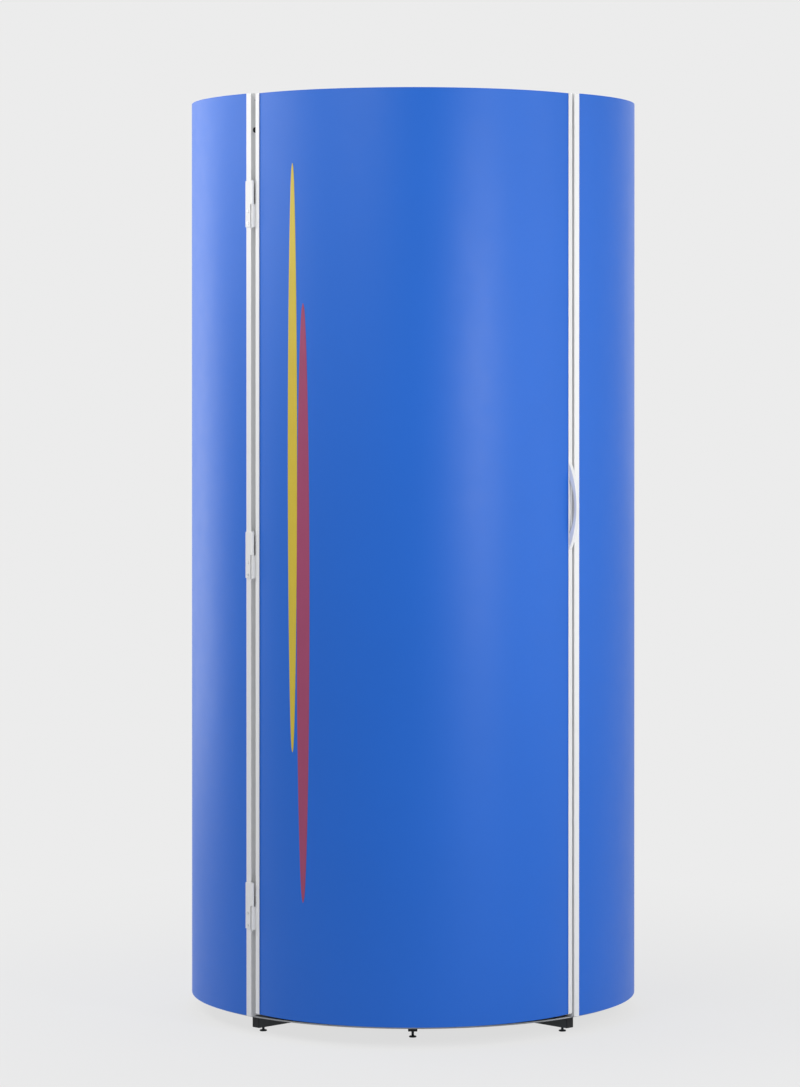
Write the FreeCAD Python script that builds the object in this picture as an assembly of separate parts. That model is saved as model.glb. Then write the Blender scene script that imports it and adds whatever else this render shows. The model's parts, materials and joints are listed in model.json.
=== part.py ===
"""Vertical tanning booth: a free-standing cabinet with a curved, hinged door.

A person stands inside on a low deck, ringed by four banks of upright ultraviolet tubes: left, right,
rear and door.  Each bank has a bright reflector with its tubes, tube holders, trims, guard and, behind
the reflector, its ballasts.  Painted sheet skins close the outside, white extruded posts join them, and
a fan in the roof draws the warm air out.

Frame: millimetres, +Z up, origin on the floor below the cabinet's axis.  The door faces -Y and +X is to
the right of someone looking at the door.  Seen from above, the sides are arcs about the cabinet's axis,
and the door and the rear are tighter arcs about axes set forward and back.  Angles are in degrees about
+Z, measured from the front and positive towards +X, so that -90 is the left side and 180 the rear.
"""
import FreeCAD, Part
import math
import os

from collections import namedtuple
from FreeCAD import Vector

# ---------------------------------------------------------------- driving sizes
# Plan of the shell, over the painted skins
SIDE_RADIUS = 500.0
DOOR_BULGE = 40.0             # how far the door's middle stands outside the side arcs' circle
CORNER_ANGLE = 42.8           # where the door's arc meets a side's, about the cabinet's axis
SKIN_THICKNESS = 1.5
DOOR_BOTTOM_GAP = 8.0         # door's lower edge above the skins' lower edge
DOOR_TOP_GAP = 1.5            # door's upper edge below the skins' upper edge

# Upright extrusions and the seams between door and posts
POST_FROM_CORNER = 12.2       # shell's corner to a front post's edge beside the door
POST_STRIP = 15.5             # white face of a front post
STILE_STRIP = 13.5            # white face of a door stile
STRIP_PROUD = 2.0             # how far those faces stand outside the skins
EXTRUSION_WALL = 2.0
HINGE_SEAM = 14.4             # groove between the left post and the door, at the skins
FREE_SEAM = 6.0               # groove between the door and the right post
STILE_DEPTH = 28.0
STILE_RETURN = 24.0           # a stile's inner flange
RAIL_HEIGHT = 46.0            # door's upper and lower rails
BRACKET_WIDTH = 44.0          # door bank's brackets
STOP_REACH = 11.0             # how far a front post's stop flange runs behind the stile
POST_HEAD_DEPTH = 16.0        # how deep a post stays past the top ring, behind the skins' outer faces
REAR_STRIP_WIDTH = 26.0
REAR_COVER_DEPTH = 78.0       # skins' outer faces to the rear post's cover inside the cabin
SEAL_THICKNESS = 2.6
SEAL_WIDTH = 8.0

# Base
FOOT_PAD_RADIUS = 8.0
FOOT_PAD_HEIGHT = 4.0
FOOT_STEM_RADIUS = 3.0
FOOT_STEM_INSIDE = 11.0       # stem above the beam's underside
THREAD_CLEARANCE = 0.05
INSERT_RADIUS = 4.6
INSERT_FLANGE_RADIUS = 6.5
INSERT_FLANGE = 1.0
INSERT_LENGTH = 9.0
BEAM_CLEARANCE = 10.0         # floor to the underside of the diagonal beams
BEAM_WIDTH = 20.0
BEAM_HEIGHT = 24.0
MIDDLE_BEAM_HEIGHT = 18.0     # front and rear beams, flush with the others on top
BEAM_WALL = 2.0
DIAGONAL_ANGLE = 45.0
DIAGONAL_SETBACK = 19.0       # side arcs' circle to a diagonal beam's end
FRONT_SETBACK = 120.0         # door's outer face to the front beam's end, and the rear beam's alike
FOOT_SETBACK = 21.0           # beam's end to foot's centre
CAP_LIP = 2.0
CAP_PLUG = 9.0
TRAY_THICKNESS = 3.0
TRAY_MARGIN = 9.0             # tray's edge inside the skins' outer faces
BEARER_WIDTH = 44.0
BEARER_HEIGHT = 24.0
BEARERS = 4
BEARER_SPACING = 160.0
BEARER_INSET = 30.0           # deck's edge to a bearer's end
DECK_THICKNESS = 18.0
MAT_THICKNESS = 3.0
MAT_RIB_HEIGHT = 1.5
MAT_RIB_WIDTH = 7.0
MAT_RIB_PITCH = 22.0
MAT_MARGIN = 14.0             # mat's edge inside the deck's
RING_WALL = 2.0
BASE_RING_HEIGHT = 58.0
TOP_RING_HEIGHT = 46.0
RING_FLANGE = 34.0            # top ring's inward flange, which carries the roof
HEADER_DEPTH = 40.0           # door's outer face to the header's
ROOF_THICKNESS = 2.0
ROOF_SUNK = 12.0              # roof sheet's upper face below the skins' upper edge

# Lamp banks
GEAR_DEPTH = 72.0             # skin's outer face to the reflector's bright face
REFLECTOR_THICKNESS = 1.0
LAMP_OFFSET = 26.0            # reflector's bright face to a tube's axis
LAMP_PITCH = 76.0
LAMP_EDGE = 30.0              # least distance from a bank's end to its first tube's axis
LAMP_RADIUS = 19.0
LAMP_LENGTH = 1760.0          # over the faces of the end caps
GLASS_WALL = 1.0
LAMP_CAP_LENGTH = 18.0
LAMP_CAP_WALL = 0.5
LAMP_CEMENT = 0.1             # between a tube's glass and its cap
LAMP_PIN_RADIUS = 1.2
LAMP_PIN_LENGTH = 7.0
LAMP_PIN_SPACING = 12.7
HOLDER_WIDTH = 30.0
HOLDER_DEPTH = 24.0
HOLDER_HEIGHT = 16.0
HOLDER_SLOT = 3.4
HOLDER_SLOT_DEPTH = 9.0
END_PLATE = 2.0
END_PLATE_HEIGHT = 31.0       # lower end plate above the skins' lower edge
TRIM_WALL = 2.0
TRIM_TO_LAMP = 3.5
TRIM_OVER_LAMP = 22.0         # how far the trims cover the tubes' ends
SIDE_BANK_FRONT = 28.8        # along the skins, from the post's edge to the side bank's
SIDE_BANK_REAR = 14.0         # from the rear corner to the side bank's edge
DOOR_BANK_INSET = 41.0        # from the shell's corner to the door's or rear bank's edge

# Guards in front of the tubes
ROD_RADIUS = 2.0
BAND_COUNT = 5
BAND_HEIGHT = 8.0
BAND_THICKNESS = 3.0
ROD_BEHIND_TRIM = 12.0        # how far a rod runs past the trim's edge

# Control gear behind the reflectors
SIDE_BALLASTS = 4
DOOR_BALLASTS = 3
BALLAST_WIDTH = 60.0
BALLAST_DEPTH = 40.0
BALLAST_HEIGHT = 155.0
BALLAST_EAR = 14.0
BALLAST_EAR_THICKNESS = 3.0
BALLAST_BOTTOM = 300.0        # lower edges above the skins' lower edge
BALLAST_SPACING = 105.0

# Hinges
HINGE_HEIGHT = 100.0
HINGE_FROM_END = 190.0        # skins' upper and lower edges to the nearest hinges
BARREL_RADIUS = 2.7
BARREL_OUT = 6.5              # hinge axis outside the shell's outer face
BARREL_FROM_POST = 9.5        # hinge axis from the left post, along the shell
PIN_RADIUS = 1.3
PIN_CLEARANCE = 0.05
PIN_HEAD_RADIUS = 2.3
PIN_HEAD_HEIGHT = 1.6
KNUCKLE_GAP = 0.4
LEAF = 2.4
LEAF_DEPTH = 20.0

# Handles and catches
HANDLE_LENGTH = 188.0
HANDLE_MIDDLE = 1106.0        # above the skins' lower edge
HANDLE_WIDTH = 11.0
HANDLE_RISE = 19.5
HANDLE_GAP = 13.0
HANDLE_GAP_LENGTH = 118.0
PULL_LENGTH = 180.0           # inside pull on the door's guard side
PULL_RISE = 36.0
PULL_GAP = 26.0
PULL_GAP_LENGTH = 130.0
PULL_WIDTH = 10.0
CATCH_HEIGHT = 60.0
CATCH_WIDTH = 9.0
CATCH_FROM_END = 470.0        # skins' upper and lower edges to the catches
STRIKE_THICKNESS = 1.0
STRIKE_GAP = 0.6

# Ceiling, fan and grab handles
CEILING_THICKNESS = 2.0
CEILING_LAP = 30.0            # how far the ceiling runs over the upper trims
ROOF_SPACE = 174.1            # ceiling's underside to the skins' upper edges
DUCT_RADIUS = 150.0
DUCT_WALL = 2.0
DUCT_FLANGE = 16.0
FAN_TIP_GAP = 6.0
HUB_RADIUS = 42.0
HUB_HEIGHT = 26.0
HUB_WALL = 3.0
BLADES = 5
BLADE_THICKNESS = 2.5
BLADE_CHORD = 62.0
BLADE_PITCH = 26.0
MOTOR_RADIUS = 36.0
MOTOR_HEIGHT = 44.0
MOTOR_ARM = 12.0
MOTOR_ARM_HEIGHT = 6.0
MOTOR_ARMS = 4
MOTOR_ARM_ANGLE = 45.0        # first arm's angle
MOTOR_GAP = 0.8               # motor's upper face to the rotor's hub
SHAFT_RADIUS = 4.0
SHAFT_CLEARANCE = 0.05
FAN_BELOW_ROOF = 34.0         # roof's upper face to the hub's upper face
GRILLE_WIRE = 3.0
GRILLE_RINGS = 6
GRILLE_ARMS = 6
GRAB_BAR_RADIUS = 11.0
GRAB_BAR_LENGTH = 170.0
GRAB_BAR_DROP = 70.0
GRAB_BAR_INSET = 265.0        # side skin's outer face to a bar
GRAB_FOOT_RADIUS = 24.0
GRAB_FOOT = 4.0
GRAB_BEND = 30.0

# Controls on the right bank's upper trim
CONTROL_WIDTH = 150.0
CONTROL_DEPTH = 34.0
CONTROL_WALL = 2.5
CONTROL_MARGIN = 3.0          # control box inside the trim's upper and lower edges
CONTROL_SPACING = 46.0
CONTROL_CLEARANCE = 0.4
BUTTON_RADIUS = 10.0
BUTTON_PROUD = 6.0
BUTTON_BODY = 12.0            # a button's length behind the panel's face
BUTTON_TRAVEL = 3.0
STOP_HEAD_RADIUS = 14.0
STOP_HEAD = 7.0
STOP_HEAD_OUT = 5.0
KNOB_RADIUS = 14.0
KNOB_LENGTH = 14.0
KNOB_GAP = 1.0
KNOB_SHAFT = 3.0
KNOB_GRIP = 4.0
TIMER_RADIUS = 13.0
TIMER_LENGTH = 18.0

# Mains entry and vents
GLAND_ANGLE = 152.0           # about the rear arc's axis
GLAND_HEIGHT = 95.0
GLAND_BORE = 6.5
GLAND_BODY = 11.0
GLAND_OUT = 16.0
GLAND_NUT = 14.0
GLAND_NUT_DEPTH = 6.0
TERMINAL_WIDTH = 110.0
TERMINAL_HEIGHT = 80.0
TERMINAL_DEPTH = 42.0
TERMINAL_BOTTOM = 140.0
TERMINAL_ANGLE = 165.0
VENT_SLOTS = 13
VENT_WIDTH = 6.0
VENT_LENGTH = 80.0
VENT_PITCH = 20.0
VENT_FROM_EDGE = 110.0

# Fasteners
SCREW_RADIUS = 3.0
SCREW_HEAD = 1.2
SCREW_END = 16.0

# Clearances
SEAT = 0.3                    # between curved faces that bear on each other
EDGE = 1.0                    # a sheet's edge to the wall beside it
DECK_CLEARANCE = 3.0          # deck's edge to the trims
DOOR_CLEARANCE = 7.0          # fixed pieces inside the cabin to the door's trims

# ---------------------------------------------------------------- derived heights
BEAM_TOP = BEAM_CLEARANCE + BEAM_HEIGHT
TRAY_TOP = BEAM_TOP + TRAY_THICKNESS
SHELL_BOTTOM = TRAY_TOP + SEAT
DOOR_BOTTOM = SHELL_BOTTOM + DOOR_BOTTOM_GAP
DECK_TOP = TRAY_TOP + BEARER_HEIGHT + DECK_THICKNESS
LOWER_PLATE_TOP = SHELL_BOTTOM + END_PLATE_HEIGHT
LAMP_BOTTOM = LOWER_PLATE_TOP + HOLDER_HEIGHT + SEAT
LAMP_TOP = LAMP_BOTTOM + LAMP_LENGTH
UPPER_PLATE_BOTTOM = LAMP_TOP + SEAT + HOLDER_HEIGHT
UPPER_PLATE_TOP = UPPER_PLATE_BOTTOM + END_PLATE
LOWER_TRIM_TOP = LAMP_BOTTOM + TRIM_OVER_LAMP
UPPER_TRIM_BOTTOM = LAMP_TOP - TRIM_OVER_LAMP
CEILING_BOTTOM = UPPER_PLATE_TOP + SEAT
CEILING_TOP = CEILING_BOTTOM + CEILING_THICKNESS
SHELL_TOP = CEILING_BOTTOM + ROOF_SPACE
DOOR_TOP = SHELL_TOP - DOOR_TOP_GAP
ROOF_TOP = SHELL_TOP - ROOF_SUNK
ROOF_BOTTOM = ROOF_TOP - ROOF_THICKNESS
FLANGE_TOP = ROOF_BOTTOM - SEAT
FLANGE_BOTTOM = FLANGE_TOP - RING_WALL
HEADER_BOTTOM = SHELL_TOP - TOP_RING_HEIGHT

# ---------------------------------------------------------------- derived plan
DOOR_FRONT = SIDE_RADIUS + DOOR_BULGE
CORNER_X = SIDE_RADIUS * math.sin(math.radians(CORNER_ANGLE))
CORNER_Y = SIDE_RADIUS * math.cos(math.radians(CORNER_ANGLE))
DOOR_RADIUS = (CORNER_X ** 2 + (DOOR_FRONT - CORNER_Y) ** 2) / (2.0 * (DOOR_FRONT - CORNER_Y))
DOOR_CENTRE = DOOR_FRONT - DOOR_RADIUS     # door arc's axis is this far forward, the rear arc's as far back

# One arc of the plan: its axis is at Y = centre
Wall = namedtuple("Wall", "centre radius middle half lamps ballasts")


def on_arc(centre, radius, angle, height=0.0):
    """The point at an angle on an arc about the axis at Y = centre."""
    turn = math.radians(angle)
    return Vector(radius * math.sin(turn), centre - radius * math.cos(turn), height)


def degrees_of(length, radius):
    """The angle that an arc of this length takes at this radius."""
    return math.degrees(length / radius)


POST_ANGLE = CORNER_ANGLE + degrees_of(POST_FROM_CORNER, SIDE_RADIUS)


def corner_of(side_radius, end_radius):
    """Where a side arc meets a door or rear arc: X, and Y's distance from the cabinet's axis."""
    away = (side_radius ** 2 - end_radius ** 2 + DOOR_CENTRE ** 2) / (2.0 * DOOR_CENTRE)
    return math.sqrt(side_radius ** 2 - away ** 2), away


def door_angle_of(side_angle, door_radius):
    """Angle about the door arc's axis where a radial plane of the cabinet crosses one of its arcs."""
    turn = math.radians(side_angle)
    out = DOOR_CENTRE * math.cos(turn) + math.sqrt(door_radius ** 2 - (DOOR_CENTRE * math.sin(turn)) ** 2)
    return math.degrees(math.atan2(out * math.sin(turn), out * math.cos(turn) - DOOR_CENTRE))


CORNER_AT_DOOR = math.degrees(math.atan2(CORNER_X, CORNER_Y - DOOR_CENTRE))
POST_AT_DOOR = door_angle_of(POST_ANGLE, DOOR_RADIUS)
HINGE_EDGE = -(POST_AT_DOOR - degrees_of(HINGE_SEAM, DOOR_RADIUS))
FREE_EDGE = POST_AT_DOOR - degrees_of(FREE_SEAM, DOOR_RADIUS)
SIDE_FROM = POST_ANGLE + degrees_of(SIDE_BANK_FRONT, SIDE_RADIUS)
SIDE_TO = 180.0 - CORNER_ANGLE - degrees_of(SIDE_BANK_REAR, SIDE_RADIUS)
SIDE_MIDDLE = (SIDE_FROM + SIDE_TO) / 2.0
SIDE_HALF = (SIDE_TO - SIDE_FROM) / 2.0
END_HALF = CORNER_AT_DOOR - degrees_of(DOOR_BANK_INSET, DOOR_RADIUS)

LAMP_DEPTH = GEAR_DEPTH + LAMP_OFFSET


def lamp_count(radius, half):
    """As many tubes at their pitch as fit along a bank."""
    length = 2.0 * math.radians(half) * (radius - LAMP_DEPTH)
    return int((length - 2.0 * LAMP_EDGE) / LAMP_PITCH) + 1


SIDE_LAMPS = lamp_count(SIDE_RADIUS, SIDE_HALF)
DOOR_LAMPS = lamp_count(DOOR_RADIUS, END_HALF)
LEFT = Wall(0.0, SIDE_RADIUS, -SIDE_MIDDLE, SIDE_HALF, SIDE_LAMPS, SIDE_BALLASTS)
RIGHT = Wall(0.0, SIDE_RADIUS, SIDE_MIDDLE, SIDE_HALF, SIDE_LAMPS, SIDE_BALLASTS)
REAR = Wall(DOOR_CENTRE, DOOR_RADIUS, 180.0, END_HALF, DOOR_LAMPS, DOOR_BALLASTS)
DOOR = Wall(-DOOR_CENTRE, DOOR_RADIUS, 0.0, END_HALF, DOOR_LAMPS, DOOR_BALLASTS)

TRIM_DEPTH = LAMP_DEPTH + LAMP_RADIUS + TRIM_TO_LAMP + TRIM_WALL
RING_DEPTH = SKIN_THICKNESS + SEAT


# ---------------------------------------------------------------- shared shapes
def sector(centre, inner, outer, start, end, bottom, top):
    """A curved wall or plate between two radii, two angles and two heights."""
    middle = (start + end) / 2.0
    corners = [on_arc(centre, inner, start, bottom), on_arc(centre, outer, start, bottom),
               on_arc(centre, outer, end, bottom), on_arc(centre, inner, end, bottom)]
    edges = [Part.LineSegment(corners[0], corners[1]),
             Part.Arc(corners[1], on_arc(centre, outer, middle, bottom), corners[2]),
             Part.LineSegment(corners[2], corners[3]),
             Part.Arc(corners[3], on_arc(centre, inner, middle, bottom), corners[0])]
    face = Part.Face(Part.Wire([edge.toShape() for edge in edges]))
    return face.extrude(Vector(0, 0, top - bottom))


def plan(side_radius, front_radius, rear_radius, bottom, top):
    """A plate with the cabinet's plan: two side arcs and tighter front and rear arcs."""
    front_x, front_y = corner_of(side_radius, front_radius)
    rear_x, rear_y = corner_of(side_radius, rear_radius)
    left_front = Vector(-front_x, -front_y, bottom)
    right_front = Vector(front_x, -front_y, bottom)
    right_rear = Vector(rear_x, rear_y, bottom)
    left_rear = Vector(-rear_x, rear_y, bottom)
    edges = [Part.Arc(left_front, on_arc(-DOOR_CENTRE, front_radius, 0, bottom), right_front),
             Part.Arc(right_front, on_arc(0, side_radius, 90, bottom), right_rear),
             Part.Arc(right_rear, on_arc(DOOR_CENTRE, rear_radius, 180, bottom), left_rear),
             Part.Arc(left_rear, on_arc(0, side_radius, -90, bottom), left_front)]
    face = Part.Face(Part.Wire([edge.toShape() for edge in edges]))
    return face.extrude(Vector(0, 0, top - bottom))


def even_plan(margin, bottom, top):
    """The plan, the same distance inside the skins' outer faces all round."""
    return plan(SIDE_RADIUS - margin, DOOR_RADIUS - margin, DOOR_RADIUS - margin, bottom, top)


def cylinder(radius, bottom, top, at=Vector(0, 0, 0)):
    return Part.makeCylinder(radius, top - bottom, Vector(at.x, at.y, bottom))


def tube(inner, outer, bottom, top, at=Vector(0, 0, 0)):
    return cylinder(outer, bottom, top, at).cut(cylinder(inner, bottom, top, at))


def block(width, outer, inner, bottom, top, side=0.0):
    """A box at the front, from one distance before the axis to another, ready to be swung round."""
    return Part.makeBox(width, outer - inner, top - bottom, Vector(side - width / 2.0, -outer, bottom))


def swing(shape, centre, angle):
    """A copy of a shape that was made at the front, carried round to its angle on an arc."""
    moved = shape.copy()
    moved.translate(Vector(0, centre, 0))
    moved.rotate(Vector(0, centre, 0), Vector(0, 0, 1), angle)
    return moved


def fused(shapes):
    return shapes[0].multiFuse(shapes[1:]).removeSplitter()


def mirrored(shape):
    return shape.mirror(Vector(0, 0, 0), Vector(1, 0, 0))


def spread(count, pitch):
    """Evenly spaced places about zero."""
    return [(index - (count - 1) / 2.0) * pitch for index in range(count)]


def write(name, *solids):
    shape = solids[0] if len(solids) == 1 else Part.makeCompound(list(solids))
    shape.exportStep("parts/%s.step" % name)


# ---------------------------------------------------------------- base
def arms():
    """Angle of each beam, its reach from the cabinet's axis and its underside."""
    diagonals = (DIAGONAL_ANGLE, 180.0 - DIAGONAL_ANGLE, 180.0 + DIAGONAL_ANGLE, -DIAGONAL_ANGLE)
    found = [(angle, SIDE_RADIUS - DIAGONAL_SETBACK, BEAM_CLEARANCE) for angle in diagonals]
    return found + [(angle, DOOR_FRONT - FRONT_SETBACK, BEAM_TOP - MIDDLE_BEAM_HEIGHT) for angle in (0.0, 180.0)]


def foot_seats():
    """Place of each levelling foot and the underside of the beam that it screws into."""
    return [(on_arc(0, reach - FOOT_SETBACK, angle), low) for angle, reach, low in arms()]


def base_frame():
    outside = [swing(block(BEAM_WIDTH, reach, 0, low, BEAM_TOP), 0, angle) for angle, reach, low in arms()]
    bore_width = BEAM_WIDTH - 2 * BEAM_WALL
    frame = fused(outside)
    for angle, reach, low in arms():
        bore = block(bore_width, reach, BEAM_WIDTH, low + BEAM_WALL, BEAM_TOP - BEAM_WALL)
        frame = frame.cut(swing(bore, 0, angle))
    for place, low in foot_seats():
        frame = frame.cut(cylinder(INSERT_RADIUS, low, low + BEAM_WALL, place))
    return frame


def beam_caps():
    caps = []
    plug_width = BEAM_WIDTH - 2 * BEAM_WALL
    for angle, reach, low in arms():
        lip = block(BEAM_WIDTH, reach + CAP_LIP, reach, low, BEAM_TOP)
        plug = block(plug_width, reach, reach - CAP_PLUG, low + BEAM_WALL, BEAM_TOP - BEAM_WALL)
        caps.append(swing(fused([lip, plug]), 0, angle))
    return caps


def foot(place, low):
    pad = cylinder(FOOT_PAD_RADIUS, 0, FOOT_PAD_HEIGHT, place)
    stem = cylinder(FOOT_STEM_RADIUS, FOOT_PAD_HEIGHT, low + FOOT_STEM_INSIDE, place)
    return fused([pad, stem])


def foot_insert(place, low):
    bottom = low - INSERT_FLANGE
    flange = cylinder(INSERT_FLANGE_RADIUS, bottom, low, place)
    body = cylinder(INSERT_RADIUS, low, low + INSERT_LENGTH, place)
    thread = cylinder(FOOT_STEM_RADIUS + THREAD_CLEARANCE, bottom, low + INSERT_LENGTH, place)
    return fused([flange, body]).cut(thread)


def base_tray():
    """Sheet on the beams: round at the front, where the door hangs past it, and the plan's shape elsewhere."""
    round_front = cylinder(SIDE_RADIUS - TRAY_MARGIN, BEAM_TOP, TRAY_TOP)
    before = block(2 * SIDE_RADIUS, 2 * SIDE_RADIUS, 0, BEAM_TOP, TRAY_TOP).cut(round_front)
    return even_plan(TRAY_MARGIN, BEAM_TOP, TRAY_TOP).cut(before)


def deck_plan(margin, bottom, top):
    """The plan of the standing deck, which clears the banks' trims and the door's as it swings."""
    side = SIDE_RADIUS - TRIM_DEPTH - DECK_CLEARANCE - margin
    front = DOOR_RADIUS - TRIM_DEPTH - DOOR_CLEARANCE - margin
    rear = DOOR_RADIUS - TRIM_DEPTH - DECK_CLEARANCE - margin
    return plan(side, front, rear, bottom, top)


def deck_bearers():
    """Bearers from side to side, each as long as the deck is above its outer edge."""
    side = SIDE_RADIUS - TRIM_DEPTH - DECK_CLEARANCE
    made = []
    for across in spread(BEARERS, BEARER_SPACING):
        far = abs(across) + BEARER_WIDTH / 2.0
        front = DOOR_RADIUS - TRIM_DEPTH - DOOR_CLEARANCE
        half = math.sqrt(side ** 2 - far ** 2)
        if far > corner_of(side, front)[1]:
            half = math.sqrt(front ** 2 - (far - DOOR_CENTRE) ** 2)
        length = 2.0 * (half - BEARER_INSET)
        made.append(Part.makeBox(length, BEARER_WIDTH, BEARER_HEIGHT,
                                 Vector(-length / 2.0, across - BEARER_WIDTH / 2.0, TRAY_TOP)))
    return made


def mat():
    """A rubber mat with raised ribs running from side to side."""
    sheet = deck_plan(MAT_MARGIN, DECK_TOP, DECK_TOP + MAT_THICKNESS)
    whole = deck_plan(MAT_MARGIN + MAT_RIB_WIDTH, DECK_TOP + MAT_THICKNESS,
                      DECK_TOP + MAT_THICKNESS + MAT_RIB_HEIGHT)
    depth = DOOR_RADIUS + DOOR_CENTRE
    count = int(2 * depth / MAT_RIB_PITCH)
    gaps = [Part.makeBox(2 * SIDE_RADIUS, MAT_RIB_PITCH - MAT_RIB_WIDTH, 2 * MAT_RIB_HEIGHT,
                         Vector(-SIDE_RADIUS, across, DECK_TOP + MAT_THICKNESS))
            for across in spread(count, MAT_RIB_PITCH)]
    return fused([sheet, whole.cut(Part.makeCompound(gaps))])


def ring_wall(bottom, top):
    """The folded wall behind the skins' edges, open where the door is."""
    outer = even_plan(RING_DEPTH, bottom, top)
    inner = even_plan(RING_DEPTH + RING_WALL, bottom, top)
    start = POST_ANGLE + degrees_of(EXTRUSION_WALL + EDGE, SIDE_RADIUS)
    doorway = sector(0, 1.0, 2 * SIDE_RADIUS, -start, start, bottom, top)
    wall = outer.cut(inner).cut(doorway)
    for side in (-1, 1):
        wall = wall.cut(rear_post_slot(side, bottom, top))
    return wall


def rear_post_slot(side, bottom, top):
    """Room for a rear post's web through what runs past it."""
    inner = SIDE_RADIUS - POST_HEAD_DEPTH - EDGE
    slot = block(EXTRUSION_WALL + 2 * SEAT, SIDE_RADIUS, inner, bottom, top)
    return swing(slot, 0, side * (180.0 - CORNER_ANGLE))


def behind_door(shape, radius):
    """What is left of a plate when the door's side of it ends on an arc about the door's axis."""
    box = shape.BoundBox
    return shape.cut(sector(DOOR.centre, radius, 2 * SIDE_RADIUS, -POST_AT_DOOR, POST_AT_DOOR,
                            box.ZMin, box.ZMax))


def base_ring():
    """Three stretches of wall, which stand on the tray and hold the skins' lower edges."""
    return ring_wall(SHELL_BOTTOM, SHELL_BOTTOM + BASE_RING_HEIGHT)


def top_ring():
    """The wall behind the skins' upper edges, with the flange under the roof and the header."""
    wall = ring_wall(HEADER_BOTTOM, SHELL_TOP - EDGE)
    front = DOOR_RADIUS - HEADER_DEPTH
    flange = behind_door(even_plan(RING_DEPTH, FLANGE_BOTTOM, FLANGE_TOP), front)
    hole = behind_door(even_plan(RING_DEPTH + RING_FLANGE, FLANGE_BOTTOM, FLANGE_TOP), front - RING_FLANGE)
    end = door_angle_of(POST_ANGLE, front) - degrees_of(EDGE, front)
    header = sector(-DOOR_CENTRE, front - RING_WALL, front, -end, end,
                    HEADER_BOTTOM, FLANGE_BOTTOM)
    ring = fused([wall, flange.cut(hole), header])
    for side_sign in (-1, 1):
        ring = ring.cut(rear_post_slot(side_sign, HEADER_BOTTOM, SHELL_TOP))
        ring = ring.cut(front_post_room(side_sign))
    return ring


def front_post_room(side):
    """Room for a front post past the top ring's flange."""
    start = POST_ANGLE - degrees_of(EDGE, SIDE_RADIUS)
    end = POST_ANGLE + degrees_of(EXTRUSION_WALL + EDGE, SIDE_RADIUS)
    inner = SIDE_RADIUS - POST_HEAD_DEPTH - EDGE
    return sector(0, inner, 2 * SIDE_RADIUS, *sorted((side * start, side * end)),
                  HEADER_BOTTOM, SHELL_TOP)


def roof():
    """Sheet inside the top ring, on its flange, with the duct's opening."""
    sheet = behind_door(even_plan(RING_DEPTH + RING_WALL + EDGE, ROOF_BOTTOM, ROOF_TOP),
                        DOOR_RADIUS - HEADER_DEPTH)
    sheet = sheet.cut(cylinder(DUCT_RADIUS, ROOF_BOTTOM, ROOF_TOP))
    for side_sign in (-1, 1):
        sheet = sheet.cut(rear_post_slot(side_sign, ROOF_BOTTOM, ROOF_TOP))
        sheet = sheet.cut(front_post_room(side_sign))
    return sheet


# ---------------------------------------------------------------- posts
def front_post(side):
    """Extruded door post: white face, radial wall, stop flange behind the door and inner flange."""
    outer = SIDE_RADIUS + STRIP_PROUD
    face_inner = SIDE_RADIUS + SEAT
    wall_angle = degrees_of(EXTRUSION_WALL, SIDE_RADIUS)
    face = sector(0, face_inner, outer, POST_ANGLE, POST_ANGLE + degrees_of(POST_STRIP, outer),
                  SHELL_BOTTOM, SHELL_TOP)
    inner = SIDE_RADIUS - GEAR_DEPTH
    head = SIDE_RADIUS - POST_HEAD_DEPTH
    wall = sector(0, inner, head, POST_ANGLE, POST_ANGLE + wall_angle, SHELL_BOTTOM, HEADER_BOTTOM - EDGE)
    edge_wall = sector(0, head, outer, POST_ANGLE, POST_ANGLE + wall_angle, SHELL_BOTTOM, SHELL_TOP)
    stop_outer = DOOR_RADIUS - STILE_DEPTH - SEAL_THICKNESS - SEAT
    at_wall = door_angle_of(POST_ANGLE, stop_outer)
    stile_edge = FREE_EDGE if side > 0 else -HINGE_EDGE
    stop = sector(-DOOR_CENTRE, stop_outer - EXTRUSION_WALL, stop_outer,
                  stile_edge - degrees_of(STOP_REACH, stop_outer),
                  at_wall + degrees_of(EXTRUSION_WALL / 2.0, stop_outer), SHELL_BOTTOM, HEADER_BOTTOM - EDGE)
    flange = sector(0, inner, inner + EXTRUSION_WALL, POST_ANGLE, SIDE_FROM - degrees_of(EDGE, inner),
                    SHELL_BOTTOM, UPPER_PLATE_TOP)
    post = fused([face, edge_wall, wall, stop, flange])
    return post if side > 0 else mirrored(post)


def seal(side):
    """Foam strip on a stop flange, which the door's stile closes against."""
    outer = DOOR_RADIUS - STILE_DEPTH - SEAT
    edge = FREE_EDGE if side > 0 else -HINGE_EDGE
    start = edge - degrees_of(STOP_REACH, outer) + degrees_of(EDGE, outer)
    strip = sector(-DOOR_CENTRE, outer - SEAL_THICKNESS, outer, start, start + degrees_of(SEAL_WIDTH, outer),
                   DOOR_BOTTOM, HEADER_BOTTOM - EDGE)
    if side < 0:
        return mirrored(strip)
    for low in catch_bottoms():
        strip = strip.cut(sector(-DOOR_CENTRE, 1.0, DOOR_RADIUS, 0.0, 80.0, low - EDGE,
                                 low + CATCH_HEIGHT + EDGE))
    return strip


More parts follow.
